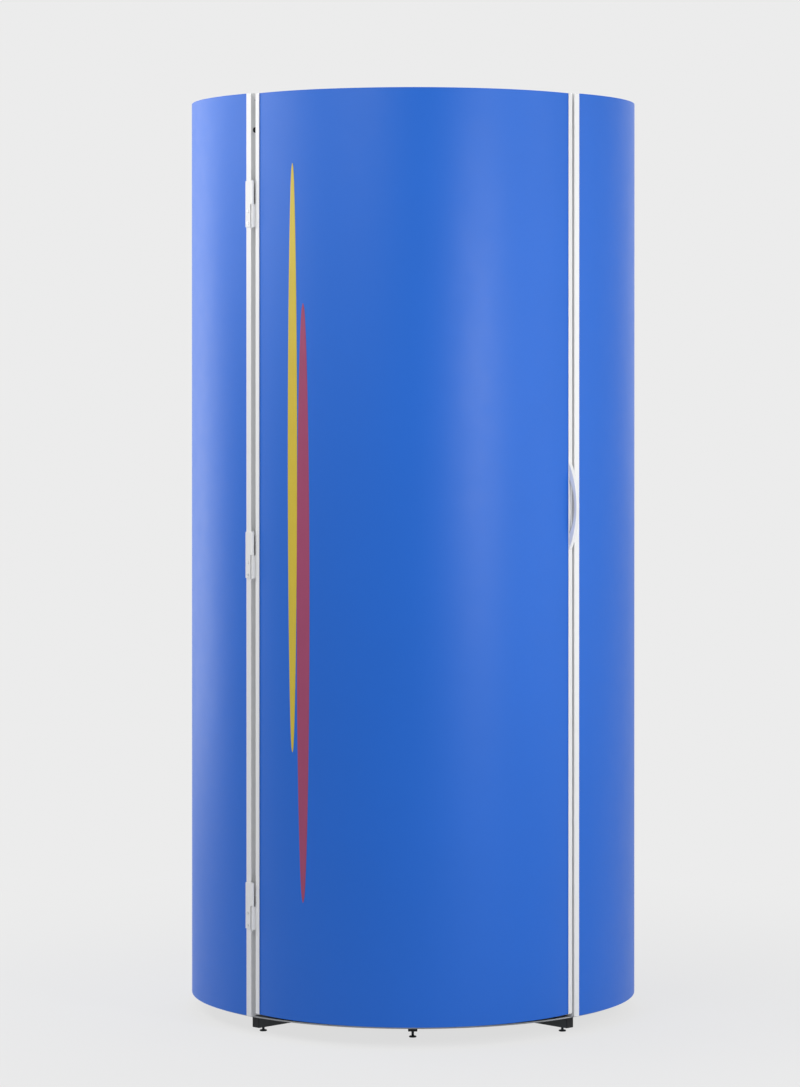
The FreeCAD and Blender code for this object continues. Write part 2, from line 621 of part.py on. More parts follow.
def rear_post(side):
    """Extrusion between a side skin and the rear skin: outer face, web and the cabin's corner cover."""
    angle = 180.0 - CORNER_ANGLE
    at_rear = 180.0 - CORNER_AT_DOOR
    half = REAR_STRIP_WIDTH / 2.0
    side_face = sector(0, SIDE_RADIUS + SEAT, SIDE_RADIUS + STRIP_PROUD,
                       angle - degrees_of(half, SIDE_RADIUS), angle, SHELL_BOTTOM, SHELL_TOP)
    rear_face = sector(REAR.centre, DOOR_RADIUS + SEAT, DOOR_RADIUS + STRIP_PROUD,
                       at_rear, at_rear + degrees_of(half, DOOR_RADIUS), SHELL_BOTTOM, SHELL_TOP)
    outer = SIDE_RADIUS - REAR_COVER_DEPTH
    head = SIDE_RADIUS - POST_HEAD_DEPTH
    edge_web = block(EXTRUSION_WALL, SIDE_RADIUS + STRIP_PROUD - SEAT, head, SHELL_BOTTOM, SHELL_TOP)
    web = block(EXTRUSION_WALL, head, outer - EXTRUSION_WALL, SHELL_BOTTOM + BASE_RING_HEIGHT + EDGE,
                HEADER_BOTTOM - EDGE)
    lean = math.radians(CORNER_ANGLE - END_HALF)
    to_rear = (outer * math.sin(lean) + DOOR_CENTRE * math.sin(math.radians(END_HALF))) / math.cos(lean)
    to_side = outer * math.tan(SIDE_BANK_REAR / SIDE_RADIUS)
    width = to_rear + to_side - 4 * EDGE
    cover = block(width, outer, outer - EXTRUSION_WALL, SHELL_BOTTOM + BASE_RING_HEIGHT + EDGE,
                  UPPER_PLATE_TOP, (to_rear - to_side) / 2.0)
    post = fused([side_face, rear_face] + [swing(piece, 0, angle) for piece in (edge_web, web, cover)])
    return post if side > 0 else mirrored(post)


# ---------------------------------------------------------------- skins
def side_skin(side):
    start = POST_ANGLE + degrees_of(EXTRUSION_WALL + EDGE, SIDE_RADIUS)
    end = 180.0 - CORNER_ANGLE - degrees_of(EXTRUSION_WALL / 2.0 + EDGE, SIDE_RADIUS)
    skin = sector(0, SIDE_RADIUS - SKIN_THICKNESS, SIDE_RADIUS, start, end, SHELL_BOTTOM, SHELL_TOP)
    return skin if side > 0 else mirrored(skin)


def vent_row(bottom):
    """Upright slots through the rear skin, side by side."""
    slots = []
    for angle in spread(VENT_SLOTS, degrees_of(VENT_PITCH, DOOR_RADIUS)):
        slot = block(VENT_WIDTH, DOOR_RADIUS + EDGE, DOOR_RADIUS - 2 * SKIN_THICKNESS,
                     bottom, bottom + VENT_LENGTH)
        slots.append(swing(slot, DOOR_CENTRE, 180.0 + angle))
    return Part.makeCompound(slots)


def rear_skin():
    half = CORNER_AT_DOOR - degrees_of(EXTRUSION_WALL / 2.0 + EDGE, DOOR_RADIUS)
    skin = sector(DOOR_CENTRE, DOOR_RADIUS - SKIN_THICKNESS, DOOR_RADIUS, 180.0 - half, 180.0 + half,
                  SHELL_BOTTOM, SHELL_TOP)
    skin = skin.cut(vent_row(SHELL_BOTTOM + VENT_FROM_EDGE))
    skin = skin.cut(vent_row(SHELL_TOP - VENT_FROM_EDGE - VENT_LENGTH))
    return skin.cut(gland_hole())


# ---------------------------------------------------------------- lamp banks
def lamp_angles(wall):
    step = degrees_of(LAMP_PITCH, wall.radius - LAMP_DEPTH)
    return [wall.middle + offset for offset in spread(wall.lamps, step)]


def span(wall, inset=0.0):
    return wall.middle - wall.half + inset, wall.middle + wall.half - inset


def reflector(wall):
    """Bright sheet behind the tubes, with its ends folded back towards the skin."""
    inner = wall.radius - GEAR_DEPTH
    outer = inner + REFLECTOR_THICKNESS
    start, end = span(wall)
    back = wall.radius - RING_DEPTH - RING_WALL - EDGE
    fold = degrees_of(REFLECTOR_THICKNESS, inner)
    bottom = LOWER_PLATE_TOP
    top = UPPER_PLATE_BOTTOM
    sheet = sector(wall.centre, inner, outer, start, end, bottom, top)
    first = sector(wall.centre, inner, back, start, start + fold, bottom, top)
    last = sector(wall.centre, inner, back, end - fold, end, bottom, top)
    return fused([sheet, first, last])


def trims(wall, base):
    """Lower and upper end channels: a plate for the tube holders and a wall that hides them."""
    back = wall.radius - RING_DEPTH - RING_WALL - EDGE
    inner = wall.radius - TRIM_DEPTH
    start, end = span(wall)
    made = []
    for plate_bottom, wall_bottom, wall_top in (
            (LOWER_PLATE_TOP - END_PLATE, base, LOWER_TRIM_TOP),
            (UPPER_PLATE_BOTTOM, UPPER_TRIM_BOTTOM, UPPER_PLATE_TOP)):
        plate = sector(wall.centre, inner, back, start, end, plate_bottom, plate_bottom + END_PLATE)
        face = sector(wall.centre, inner, inner + TRIM_WALL, start, end, wall_bottom, wall_top)
        made.append(fused([plate, face]))
    return made


def lamp_tubes(wall):
    radius = wall.radius - LAMP_DEPTH
    inner_radius = LAMP_RADIUS - GLASS_WALL
    return [tube(inner_radius, LAMP_RADIUS, LAMP_BOTTOM + LAMP_CAP_WALL, LAMP_TOP - LAMP_CAP_WALL,
                 on_arc(wall.centre, radius, angle)) for angle in lamp_angles(wall)]


def lamp_cap():
    """Metal end cap at the origin, opening upwards, with its two contact pins below."""
    inner = LAMP_RADIUS + LAMP_CEMENT
    cap = cylinder(inner + LAMP_CAP_WALL, 0, LAMP_CAP_LENGTH)
    cap = cap.cut(cylinder(inner, LAMP_CAP_WALL, LAMP_CAP_LENGTH))
    pins = [cylinder(LAMP_PIN_RADIUS, -LAMP_PIN_LENGTH, 0, Vector(across, 0, 0))
            for across in spread(2, LAMP_PIN_SPACING)]
    return fused([cap] + pins)


def lamp_caps(wall):
    lower = lamp_cap()
    upper = lamp_cap().mirror(Vector(0, 0, 0), Vector(0, 0, 1))
    lower.translate(Vector(0, -(wall.radius - LAMP_DEPTH), LAMP_BOTTOM))
    upper.translate(Vector(0, -(wall.radius - LAMP_DEPTH), LAMP_TOP))
    return [swing(cap, wall.centre, angle) for angle in lamp_angles(wall) for cap in (lower, upper)]


def lamp_holders(wall):
    """Slotted holders on the end plates, below and above each tube."""
    radius = wall.radius - LAMP_DEPTH
    outer = radius + HOLDER_DEPTH / 2.0
    inner = radius - HOLDER_DEPTH / 2.0
    slot_width = LAMP_PIN_SPACING + 2 * HOLDER_SLOT
    low = block(HOLDER_WIDTH, outer, inner, LOWER_PLATE_TOP, LOWER_PLATE_TOP + HOLDER_HEIGHT)
    low = low.cut(block(slot_width, radius + HOLDER_SLOT / 2.0, radius - HOLDER_SLOT / 2.0,
                        LOWER_PLATE_TOP + HOLDER_HEIGHT - HOLDER_SLOT_DEPTH, LAMP_BOTTOM))
    high = block(HOLDER_WIDTH, outer, inner, UPPER_PLATE_BOTTOM - HOLDER_HEIGHT, UPPER_PLATE_BOTTOM)
    high = high.cut(block(slot_width, radius + HOLDER_SLOT / 2.0, radius - HOLDER_SLOT / 2.0,
                          LAMP_TOP, UPPER_PLATE_BOTTOM - HOLDER_HEIGHT + HOLDER_SLOT_DEPTH))
    return [swing(holder, wall.centre, angle) for angle in lamp_angles(wall) for holder in (low, high)]


def guard(wall):
    """Upright rods between the tubes, tied by curved bands; the rods' ends sit behind the trims."""
    step = degrees_of(LAMP_PITCH, wall.radius - LAMP_DEPTH)
    bottom = LOWER_TRIM_TOP - ROD_BEHIND_TRIM
    top = UPPER_TRIM_BOTTOM + ROD_BEHIND_TRIM
    angles = [wall.middle + offset for offset in spread(wall.lamps + 1, step)]
    at = wall.radius - TRIM_DEPTH + TRIM_WALL + SEAT + ROD_RADIUS
    rods = [cylinder(ROD_RADIUS, bottom, top, on_arc(wall.centre, at, angle)) for angle in angles]
    gap = (UPPER_TRIM_BOTTOM - LOWER_TRIM_TOP) / (BAND_COUNT + 1.0)
    bands = []
    for index in range(BAND_COUNT):
        low = LOWER_TRIM_TOP + (index + 1) * gap - BAND_HEIGHT / 2.0
        bands.append(sector(wall.centre, at - BAND_THICKNESS, at, angles[0] - degrees_of(ROD_RADIUS, at),
                            angles[-1] + degrees_of(ROD_RADIUS, at), low, low + BAND_HEIGHT))
    return fused(rods + bands)


def ballasts(wall):
    """Ballast boxes with mounting ears, on the reflector's back."""
    back = wall.radius - GEAR_DEPTH + REFLECTOR_THICKNESS
    near = back + SEAT
    low = SHELL_BOTTOM + BALLAST_BOTTOM
    body = block(BALLAST_WIDTH, near + BALLAST_DEPTH, near, low, low + BALLAST_HEIGHT)
    ears = block(BALLAST_WIDTH / 2.0, near + BALLAST_EAR_THICKNESS, near, low - BALLAST_EAR,
                 low + BALLAST_HEIGHT + BALLAST_EAR)
    whole = fused([body, ears])
    step = degrees_of(BALLAST_SPACING, wall.radius)
    return [swing(whole, wall.centre, wall.middle + offset) for offset in spread(wall.ballasts, step)]


# ---------------------------------------------------------------- door
def stile(side):
    """Door edge extrusion: white face, wall beside the groove and flange inside the door."""
    edge = FREE_EDGE if side > 0 else -HINGE_EDGE
    outer = DOOR_RADIUS + STRIP_PROUD
    inner = DOOR_RADIUS - STILE_DEPTH
    face = sector(DOOR.centre, DOOR_RADIUS + SEAT, outer, edge - degrees_of(STILE_STRIP, outer), edge,
                  DOOR_BOTTOM, DOOR_TOP)
    wall = sector(DOOR.centre, inner, outer, edge - degrees_of(EXTRUSION_WALL, outer), edge,
                  DOOR_BOTTOM, DOOR_TOP)
    flange = sector(DOOR.centre, inner, inner + EXTRUSION_WALL, edge - degrees_of(STILE_RETURN, inner), edge,
                    DOOR_BOTTOM, DOOR_TOP)
    made = fused([face, wall, flange])
    return made if side > 0 else mirrored(made)


def door_inner_span(depth):
    """The door's angles between its stiles' walls at a depth, with the sheets' edge clearance."""
    edge = degrees_of(EXTRUSION_WALL + EDGE, DOOR_RADIUS - depth)
    return HINGE_EDGE + edge, FREE_EDGE - edge


def door_skin():
    start, end = door_inner_span(0.0)
    return sector(DOOR.centre, DOOR_RADIUS - SKIN_THICKNESS, DOOR_RADIUS, start, end, DOOR_BOTTOM, DOOR_TOP)


def door_rail(top_rail):
    """Curved rail across the door's top or bottom, between the stiles' walls."""
    start, end = door_inner_span(STILE_DEPTH)
    outer = DOOR_RADIUS - RING_DEPTH
    web = STILE_DEPTH - EXTRUSION_WALL - SEAT
    inner = DOOR_RADIUS - web
    low = DOOR_TOP - END_PLATE if top_rail else DOOR_BOTTOM
    plate = sector(DOOR.centre, inner, outer, start, end, low, low + END_PLATE)
    wall_low = DOOR_TOP - RAIL_HEIGHT if top_rail else DOOR_BOTTOM
    wall = sector(DOOR.centre, outer - RING_WALL, outer, start, end, wall_low, wall_low + RAIL_HEIGHT)
    return fused([plate, wall])


def door_bank_brackets():
    """Angle brackets that tie the door bank's end plates to the rails' walls."""
    made = []
    outer = DOOR_RADIUS - RING_DEPTH - RING_WALL
    start, end = span(DOOR)
    width = degrees_of(BRACKET_WIDTH, DOOR_RADIUS)
    for middle in (start + width, 0.0, end - width):
        low = DOOR_BOTTOM + END_PLATE
        foot_wall = sector(DOOR.centre, outer - EXTRUSION_WALL, outer, middle - width / 2.0,
                           middle + width / 2.0, low, LOWER_PLATE_TOP - END_PLATE)
        made.append(foot_wall)
        arm = sector(DOOR.centre, outer - EXTRUSION_WALL, outer, middle - width / 2.0, middle + width / 2.0,
                     UPPER_PLATE_TOP, DOOR_TOP - END_PLATE)
        made.append(arm)
    return made


def bow(length, rise, gap, gap_length, width, seat):
    """A crescent handle standing forward of a flat seat at the front, its middle at height zero."""
    def segment(chord, height, start):
        low = Vector(0, -start, -chord / 2.0)
        high = Vector(0, -start, chord / 2.0)
        arc = Part.Arc(low, Vector(0, -start - height, 0), high)
        return Part.Face(Part.Wire([arc.toShape(), Part.LineSegment(high, low).toShape()]))
    solid = segment(length, rise, seat).extrude(Vector(width, 0, 0))
    hollow = segment(gap_length, gap, seat).extrude(Vector(width, 0, 0))
    made = solid.cut(hollow)
    made.translate(Vector(-width / 2.0, 0, 0))
    return made


def door_handle():
    """Outside handle, a bow along the free stile's face."""
    strip = degrees_of(STILE_STRIP, DOOR_RADIUS + STRIP_PROUD)
    made = bow(HANDLE_LENGTH, HANDLE_RISE, HANDLE_GAP, HANDLE_GAP_LENGTH, HANDLE_WIDTH,
               DOOR_RADIUS + STRIP_PROUD)
    made.translate(Vector(0, 0, SHELL_BOTTOM + HANDLE_MIDDLE))
    return swing(made, DOOR.centre, FREE_EDGE - strip / 2.0)


def door_pull():
    """Inside pull: a bow on the free stile's inner flange, standing into the cabin."""
    seat = math.sqrt((DOOR_RADIUS - STILE_DEPTH) ** 2 - (PULL_WIDTH / 2.0) ** 2)
    made = bow(PULL_LENGTH, PULL_RISE, PULL_GAP, PULL_GAP_LENGTH, PULL_WIDTH, seat)
    made.translate(Vector(0, 0, SHELL_BOTTOM + HANDLE_MIDDLE))
    made = made.mirror(Vector(0, -seat, 0), Vector(0, 1, 0))
    return swing(made, DOOR.centre, FREE_EDGE - degrees_of(STILE_RETURN - PULL_WIDTH / 2.0 - EDGE, seat))


def catch_bottoms():
    return [SHELL_BOTTOM + CATCH_FROM_END, SHELL_TOP - CATCH_FROM_END - CATCH_HEIGHT]


def catches():
    """Magnetic catches on the right post's stop flange."""
    outer = DOOR_RADIUS - STILE_DEPTH - STRIKE_THICKNESS - STRIKE_GAP
    inner = DOOR_RADIUS - STILE_DEPTH - SEAL_THICKNESS - SEAT
    start = FREE_EDGE - degrees_of(STOP_REACH, outer) + degrees_of(EDGE, outer)
    return [sector(DOOR.centre, inner, outer, start, start + degrees_of(CATCH_WIDTH, outer),
                   bottom, bottom + CATCH_HEIGHT) for bottom in catch_bottoms()]


def strikes():
    """Steel strike plates on the free stile, facing the catches."""
    outer = DOOR_RADIUS - STILE_DEPTH
    start = FREE_EDGE - degrees_of(STOP_REACH, outer) + degrees_of(EDGE, outer)
    return [sector(DOOR.centre, outer - STRIKE_THICKNESS, outer, start, start + degrees_of(CATCH_WIDTH, outer),
                   bottom, bottom + CATCH_HEIGHT) for bottom in catch_bottoms()]


# ---------------------------------------------------------------- hinges
def hinge_angle():
    """Angle of the hinge axis about the cabinet's axis."""
    return degrees_of(BARREL_FROM_POST, SIDE_RADIUS) - POST_ANGLE


def hinge_axis():
    """Point over the hinge groove, outside the shell."""
    return on_arc(0, SIDE_RADIUS + BARREL_OUT, hinge_angle())


def post_leaf(bottom):
    """Fixed leaf: a plate on the left post's face, its upper half closed over to the barrel."""
    middle = bottom + HINGE_HEIGHT / 2.0
    top = bottom + HINGE_HEIGHT
    inner = SIDE_RADIUS + STRIP_PROUD
    outer_angle = -(POST_ANGLE + degrees_of(POST_STRIP, inner))
    plate = sector(0, inner, inner + LEAF, outer_angle, -POST_ANGLE, bottom, top)
    cover = sector(0, inner, inner + LEAF, -POST_ANGLE, hinge_angle(), middle, top)
    solid = fused([plate, cover, cylinder(BARREL_RADIUS, middle, top, hinge_axis())])
    return solid.cut(cylinder(PIN_RADIUS + PIN_CLEARANCE, middle, top, hinge_axis()))


def door_leaf(bottom):
    """Door leaf: a plate on the hinge stile's wall, bent over to the lower half of the barrel."""
    top = bottom + HINGE_HEIGHT / 2.0 - KNUCKLE_GAP
    axis = hinge_axis()
    reach = math.hypot(axis.x, axis.y - DOOR.centre)
    bend = reach + LEAF / 2.0
    plate = sector(DOOR.centre, reach - LEAF_DEPTH, bend, HINGE_EDGE - degrees_of(LEAF, DOOR_RADIUS),
                   HINGE_EDGE, bottom, top)
    axis_angle = -math.degrees(math.asin(-axis.x / reach))
    arm = sector(DOOR.centre, bend - LEAF, bend, axis_angle, HINGE_EDGE, bottom, top)
    solid = fused([plate, arm, cylinder(BARREL_RADIUS, bottom, top, axis)])
    return solid.cut(cylinder(PIN_RADIUS + PIN_CLEARANCE, bottom, top, axis))


def hinge_pin(bottom):
    shank = cylinder(PIN_RADIUS, bottom, bottom + HINGE_HEIGHT, hinge_axis())
    head = cylinder(PIN_HEAD_RADIUS, bottom - PIN_HEAD_HEIGHT, bottom, hinge_axis())
    cap = cylinder(PIN_HEAD_RADIUS, bottom + HINGE_HEIGHT, bottom + HINGE_HEIGHT + PIN_HEAD_HEIGHT,
                   hinge_axis())
    return fused([head, shank, cap])


def hinge_bottoms():
    """Lower ends of the three hinges, the middle one halfway up."""
    lowest = SHELL_BOTTOM + HINGE_FROM_END
    highest = SHELL_TOP - HINGE_FROM_END - HINGE_HEIGHT
    return [lowest, (lowest + highest) / 2.0, highest]


def hinge_screws():
    """Countersunk-look screws through the fixed leaves into the post's face."""
    seat = SIDE_RADIUS + STRIP_PROUD + LEAF
    angle = -(POST_ANGLE + degrees_of(POST_STRIP / 2.0, SIDE_RADIUS))
    made = []
    for bottom in hinge_bottoms():
        for height in (bottom + SCREW_END / 2.0, bottom + HINGE_HEIGHT / 2.0 - SCREW_END):
            head = Part.makeCylinder(SCREW_RADIUS, SCREW_HEAD, Vector(0, -seat, height), Vector(0, -1, 0))
            made.append(swing(head, 0, angle))
    return made


# ---------------------------------------------------------------- ceiling, fan, grab handles
def ceiling():
    """Flat ceiling over the cabin, with the duct's opening."""
    sheet = even_plan(TRIM_DEPTH - CEILING_LAP, CEILING_BOTTOM, CEILING_TOP)
    sheet = behind_door(sheet, DOOR_RADIUS - TRIM_DEPTH - DOOR_CLEARANCE)
    return sheet.cut(cylinder(DUCT_RADIUS, CEILING_BOTTOM, CEILING_TOP))


def duct():
    """Duct from the ceiling to the roof, with a flange on the roof."""
    outer = DUCT_RADIUS + DUCT_WALL
    pipe = tube(DUCT_RADIUS, outer, CEILING_TOP + SEAT, ROOF_BOTTOM - SEAT)
    foot_flange = tube(DUCT_RADIUS, outer + DUCT_FLANGE, CEILING_TOP + SEAT, CEILING_TOP + SEAT + DUCT_WALL)
    head_flange = tube(DUCT_RADIUS, outer + DUCT_FLANGE, ROOF_BOTTOM - SEAT - DUCT_WALL, ROOF_BOTTOM - SEAT)
    return fused([pipe, foot_flange, head_flange])


def fan_motor():
    """Motor on four arms across the duct, with the shaft that carries the rotor."""
    hub_top = ROOF_TOP - FAN_BELOW_ROOF
    top = hub_top - HUB_HEIGHT - MOTOR_GAP
    bottom = top - MOTOR_HEIGHT
    parts = [cylinder(MOTOR_RADIUS, bottom, top), cylinder(SHAFT_RADIUS, top, hub_top)]
    for index in range(MOTOR_ARMS):
        angle = MOTOR_ARM_ANGLE + index * 360.0 / MOTOR_ARMS
        arm = block(MOTOR_ARM, DUCT_RADIUS - SEAT, MOTOR_RADIUS / 2.0, bottom, bottom + MOTOR_ARM_HEIGHT)
        pad = sector(0, DUCT_RADIUS - SEAT - EXTRUSION_WALL, DUCT_RADIUS - SEAT, angle - MOTOR_ARM,
                     angle + MOTOR_ARM, bottom, bottom + 2 * MOTOR_ARM)
        parts.append(swing(arm, 0, angle).common(cylinder(DUCT_RADIUS - SEAT, bottom, top)))
        parts.append(pad)
    return fused(parts)


def fan_rotor():
    """Hub with pitched blades, bored for the motor's shaft."""
    top = ROOF_TOP - FAN_BELOW_ROOF
    bottom = top - HUB_HEIGHT
    middle = (top + bottom) / 2.0
    tip = DUCT_RADIUS - FAN_TIP_GAP
    parts = [cylinder(HUB_RADIUS, bottom, top)]
    sweep = tube(HUB_RADIUS - HUB_WALL, tip, bottom - HUB_HEIGHT, top + HUB_HEIGHT)
    for index in range(BLADES):
        blade = Part.makeBox(BLADE_CHORD, tip, BLADE_THICKNESS,
                             Vector(-BLADE_CHORD / 2.0, -tip, middle - BLADE_THICKNESS / 2.0))
        blade.rotate(Vector(0, 0, middle), Vector(0, 1, 0), BLADE_PITCH)
        blade = blade.common(sweep)
        parts.append(swing(blade, 0, index * 360.0 / BLADES))
    rotor = fused(parts)
    return rotor.cut(cylinder(SHAFT_RADIUS + SHAFT_CLEARANCE, bottom - HUB_HEIGHT, top + HUB_HEIGHT))


def grille(bottom):
    """Round guard of concentric wires on flat arms."""
    outer = DUCT_RADIUS + DUCT_FLANGE
    parts = [tube(outer - 2 * GRILLE_WIRE, outer, bottom, bottom + GRILLE_WIRE),
             cylinder(HUB_RADIUS / 2.0, bottom, bottom + GRILLE_WIRE)]
    pitch = (outer - HUB_RADIUS / 2.0) / (GRILLE_RINGS + 1.0)
    for index in range(GRILLE_RINGS):
        radius = HUB_RADIUS / 2.0 + (index + 1) * pitch
        parts.append(tube(radius - GRILLE_WIRE, radius, bottom, bottom + GRILLE_WIRE))
    for index in range(GRILLE_ARMS):
        arm = block(2 * GRILLE_WIRE, outer - GRILLE_WIRE, 0, bottom, bottom + GRILLE_WIRE)
        parts.append(swing(arm, 0, index * 360.0 / GRILLE_ARMS))
    return fused(parts)


def grab_handle(side):
    """Overhead bar, bent down from two round feet on the ceiling."""
    top = CEILING_BOTTOM
    half = GRAB_BAR_LENGTH / 2.0
    low = top - GRAB_BAR_DROP
    turn = GRAB_BEND * (1.0 - math.sqrt(0.5))
    x = side * (SIDE_RADIUS - GRAB_BAR_INSET)
    points = [Vector(x, -half, top), Vector(x, -half, low + GRAB_BEND),
              Vector(x, -half + turn, low + turn), Vector(x, -half + GRAB_BEND, low),
              Vector(x, half - GRAB_BEND, low), Vector(x, half - turn, low + turn),
              Vector(x, half, low + GRAB_BEND), Vector(x, half, top)]
    path = Part.Wire([Part.LineSegment(points[0], points[1]).toShape(),
                      Part.Arc(points[1], points[2], points[3]).toShape(),
                      Part.LineSegment(points[3], points[4]).toShape(),
                      Part.Arc(points[4], points[5], points[6]).toShape(),
                      Part.LineSegment(points[6], points[7]).toShape()])
    circle = Part.Wire([Part.Circle(points[0], Vector(0, 0, 1), GRAB_BAR_RADIUS).toShape()])
    bar = path.makePipeShell([circle], True, False)
    feet = [cylinder(GRAB_FOOT_RADIUS, top - GRAB_FOOT, top, Vector(x, across, 0)) for across in (-half, half)]
    return fused([bar] + feet)


# ---------------------------------------------------------------- controls
CONTROL_BOTTOM = UPPER_TRIM_BOTTOM + CONTROL_MARGIN
CONTROL_TOP = UPPER_PLATE_TOP - CONTROL_MARGIN
CONTROL_HEIGHT = (CONTROL_BOTTOM + CONTROL_TOP) / 2.0
CONTROL_BACK = SIDE_RADIUS - TRIM_DEPTH - SEAT
CONTROL_FACE = CONTROL_BACK - CONTROL_DEPTH


def control_angles():
    """Angles of the start button, the timer and the stop button."""
    return [RIGHT.middle + offset for offset in spread(3, degrees_of(CONTROL_SPACING, CONTROL_FACE))]


def radial_cylinder(radius, outer, inner, angle):
    """A round piece that points at the cabinet's axis, at the controls' height."""
    made = Part.makeCylinder(radius, outer - inner, Vector(0, -outer, CONTROL_HEIGHT), Vector(0, 1, 0))
    return swing(made, 0, angle)


def control_box():
    half = degrees_of(CONTROL_WIDTH / 2.0, CONTROL_FACE)
    wall = degrees_of(CONTROL_WALL, CONTROL_FACE)
    start, end = RIGHT.middle - half, RIGHT.middle + half
    whole = sector(0, CONTROL_FACE, CONTROL_BACK, start, end, CONTROL_BOTTOM, CONTROL_TOP)
    inside = sector(0, CONTROL_FACE + CONTROL_WALL, CONTROL_BACK, start + wall, end - wall,
                    CONTROL_BOTTOM + CONTROL_WALL, CONTROL_TOP - CONTROL_WALL)
    box = whole.cut(inside)
    radii = (BUTTON_RADIUS + CONTROL_CLEARANCE, KNOB_SHAFT + SHAFT_CLEARANCE, BUTTON_RADIUS + CONTROL_CLEARANCE)
    for angle, radius in zip(control_angles(), radii):
        box = box.cut(radial_cylinder(radius, CONTROL_BACK, CONTROL_FACE - CONTROL_WALL, angle))
    return box


def start_button():
    angle = control_angles()[0]
    body = radial_cylinder(BUTTON_RADIUS, CONTROL_FACE + BUTTON_BODY, CONTROL_FACE - BUTTON_PROUD, angle)
    return body


def stop_button():
    angle = control_angles()[2]
    face = CONTROL_FACE - STOP_HEAD_OUT
    stem = radial_cylinder(BUTTON_RADIUS, CONTROL_FACE + BUTTON_BODY, face, angle)
    head = radial_cylinder(STOP_HEAD_RADIUS, face, face - STOP_HEAD, angle)
    return fused([stem, head])


def switch_blocks():
    """Contact blocks behind the two buttons, fixed to the box's back."""
    gap = BUTTON_TRAVEL + CONTROL_CLEARANCE
    return [radial_cylinder(BUTTON_RADIUS, CONTROL_BACK, CONTROL_FACE + BUTTON_BODY + gap, angle)
            for angle in (control_angles()[0], control_angles()[2])]


def timer():
    """Timer body behind the panel."""
    angle = control_angles()[1]
    back = radial_cylinder(TIMER_RADIUS, CONTROL_BACK, CONTROL_FACE + CONTROL_WALL + SEAT, angle)
    return back.cut(radial_cylinder(KNOB_SHAFT + SHAFT_CLEARANCE, CONTROL_FACE + TIMER_LENGTH,
                                    CONTROL_FACE, angle))


def timer_knob():
    """Round knob with a grip bar, on its shaft."""
    angle = control_angles()[1]
    seat = CONTROL_FACE - KNOB_GAP
    body = radial_cylinder(KNOB_RADIUS, seat, seat - KNOB_LENGTH / 2.0, angle)
    shaft = radial_cylinder(KNOB_SHAFT, CONTROL_FACE + TIMER_LENGTH - SEAT, seat, angle)
    bar = block(KNOB_GRIP, seat - KNOB_LENGTH / 2.0, seat - KNOB_LENGTH, CONTROL_HEIGHT - KNOB_RADIUS + EDGE,
                CONTROL_HEIGHT + KNOB_RADIUS - EDGE)
    return fused([body, shaft, swing(bar, 0, angle)])


# ---------------------------------------------------------------- mains entry
def gland_cylinder(radius, outer, inner):
    made = Part.makeCylinder(radius, outer - inner, Vector(0, -outer, SHELL_BOTTOM + GLAND_HEIGHT),
                             Vector(0, 1, 0))
    return swing(made, REAR.centre, GLAND_ANGLE)


def gland_hole():
    return gland_cylinder(GLAND_BODY, DOOR_RADIUS + GLAND_OUT, DOOR_RADIUS - GEAR_DEPTH / 2.0)


def cable_gland():
    """Gland through the rear skin, with its lock nut inside; the supply lead isn't part of the booth."""
    skin_inner = DOOR_RADIUS - SKIN_THICKNESS
    parts = [gland_cylinder(GLAND_NUT, DOOR_RADIUS + GLAND_NUT_DEPTH, DOOR_RADIUS + SEAT),
             gland_cylinder(GLAND_BODY - SEAT, DOOR_RADIUS + GLAND_OUT, skin_inner - 2 * GLAND_NUT_DEPTH),
             gland_cylinder(GLAND_NUT, skin_inner - EDGE, skin_inner - EDGE - GLAND_NUT_DEPTH)]
    return fused(parts).cut(gland_cylinder(GLAND_BORE, DOOR_RADIUS + 2 * GLAND_OUT, DOOR_RADIUS - GEAR_DEPTH))


def terminal_box():
    """Closed terminal box on the rear reflector's back."""
    near = DOOR_RADIUS - GEAR_DEPTH + REFLECTOR_THICKNESS + SEAT
    low = SHELL_BOTTOM + TERMINAL_BOTTOM
    return swing(block(TERMINAL_WIDTH, near + TERMINAL_DEPTH, near, low, low + TERMINAL_HEIGHT),
                 REAR.centre, TERMINAL_ANGLE)


# ---------------------------------------------------------------- the whole booth
def write_base():
    write("base_frame", base_frame())
    write("beam_end_caps", *beam_caps())
    names = ("front_right", "rear_right", "rear_left", "front_left", "front_middle", "rear_middle")
    for name, (place, low) in zip(names, foot_seats()):
        write("levelling_foot_" + name, foot(place, low))
    write("foot_inserts", *[foot_insert(place, low) for place, low in foot_seats()])
    write("base_tray", base_tray())
    write("deck_bearers", *deck_bearers())
    write("deck", deck_plan(0.0, TRAY_TOP + BEARER_HEIGHT, DECK_TOP))
    write("deck_mat", mat())
    write("base_ring", *base_ring().Solids)


def write_shell():
    write("left_skin", side_skin(-1))
    write("right_skin", side_skin(1))
    write("rear_skin", rear_skin())
    write("front_posts", front_post(-1), front_post(1))
    write("rear_posts", rear_post(-1), rear_post(1))
    write("door_seals", seal(-1), seal(1))
    write("top_ring", top_ring())
    write("roof", roof())
    write("cable_gland", cable_gland())
    write("terminal_box", terminal_box())


def write_banks(name, walls, base):
    """The lamp banks that one body carries, like pieces together."""
    write(name + "_reflectors", *[reflector(wall) for wall in walls])
    write(name + "_lamp_trims", *[trim for wall in walls for trim in trims(wall, base)])
    write(name + "_lamp_holders", *[holder for wall in walls for holder in lamp_holders(wall)])
    write(name + "_lamp_tubes", *[lamp for wall in walls for lamp in lamp_tubes(wall)])
    write(name + "_lamp_caps", *[cap for wall in walls for cap in lamp_caps(wall)])
    write(name + "_lamp_guards", *[guard(wall) for wall in walls])
    write(name + "_ballasts", *[ballast for wall in walls for ballast in ballasts(wall)])


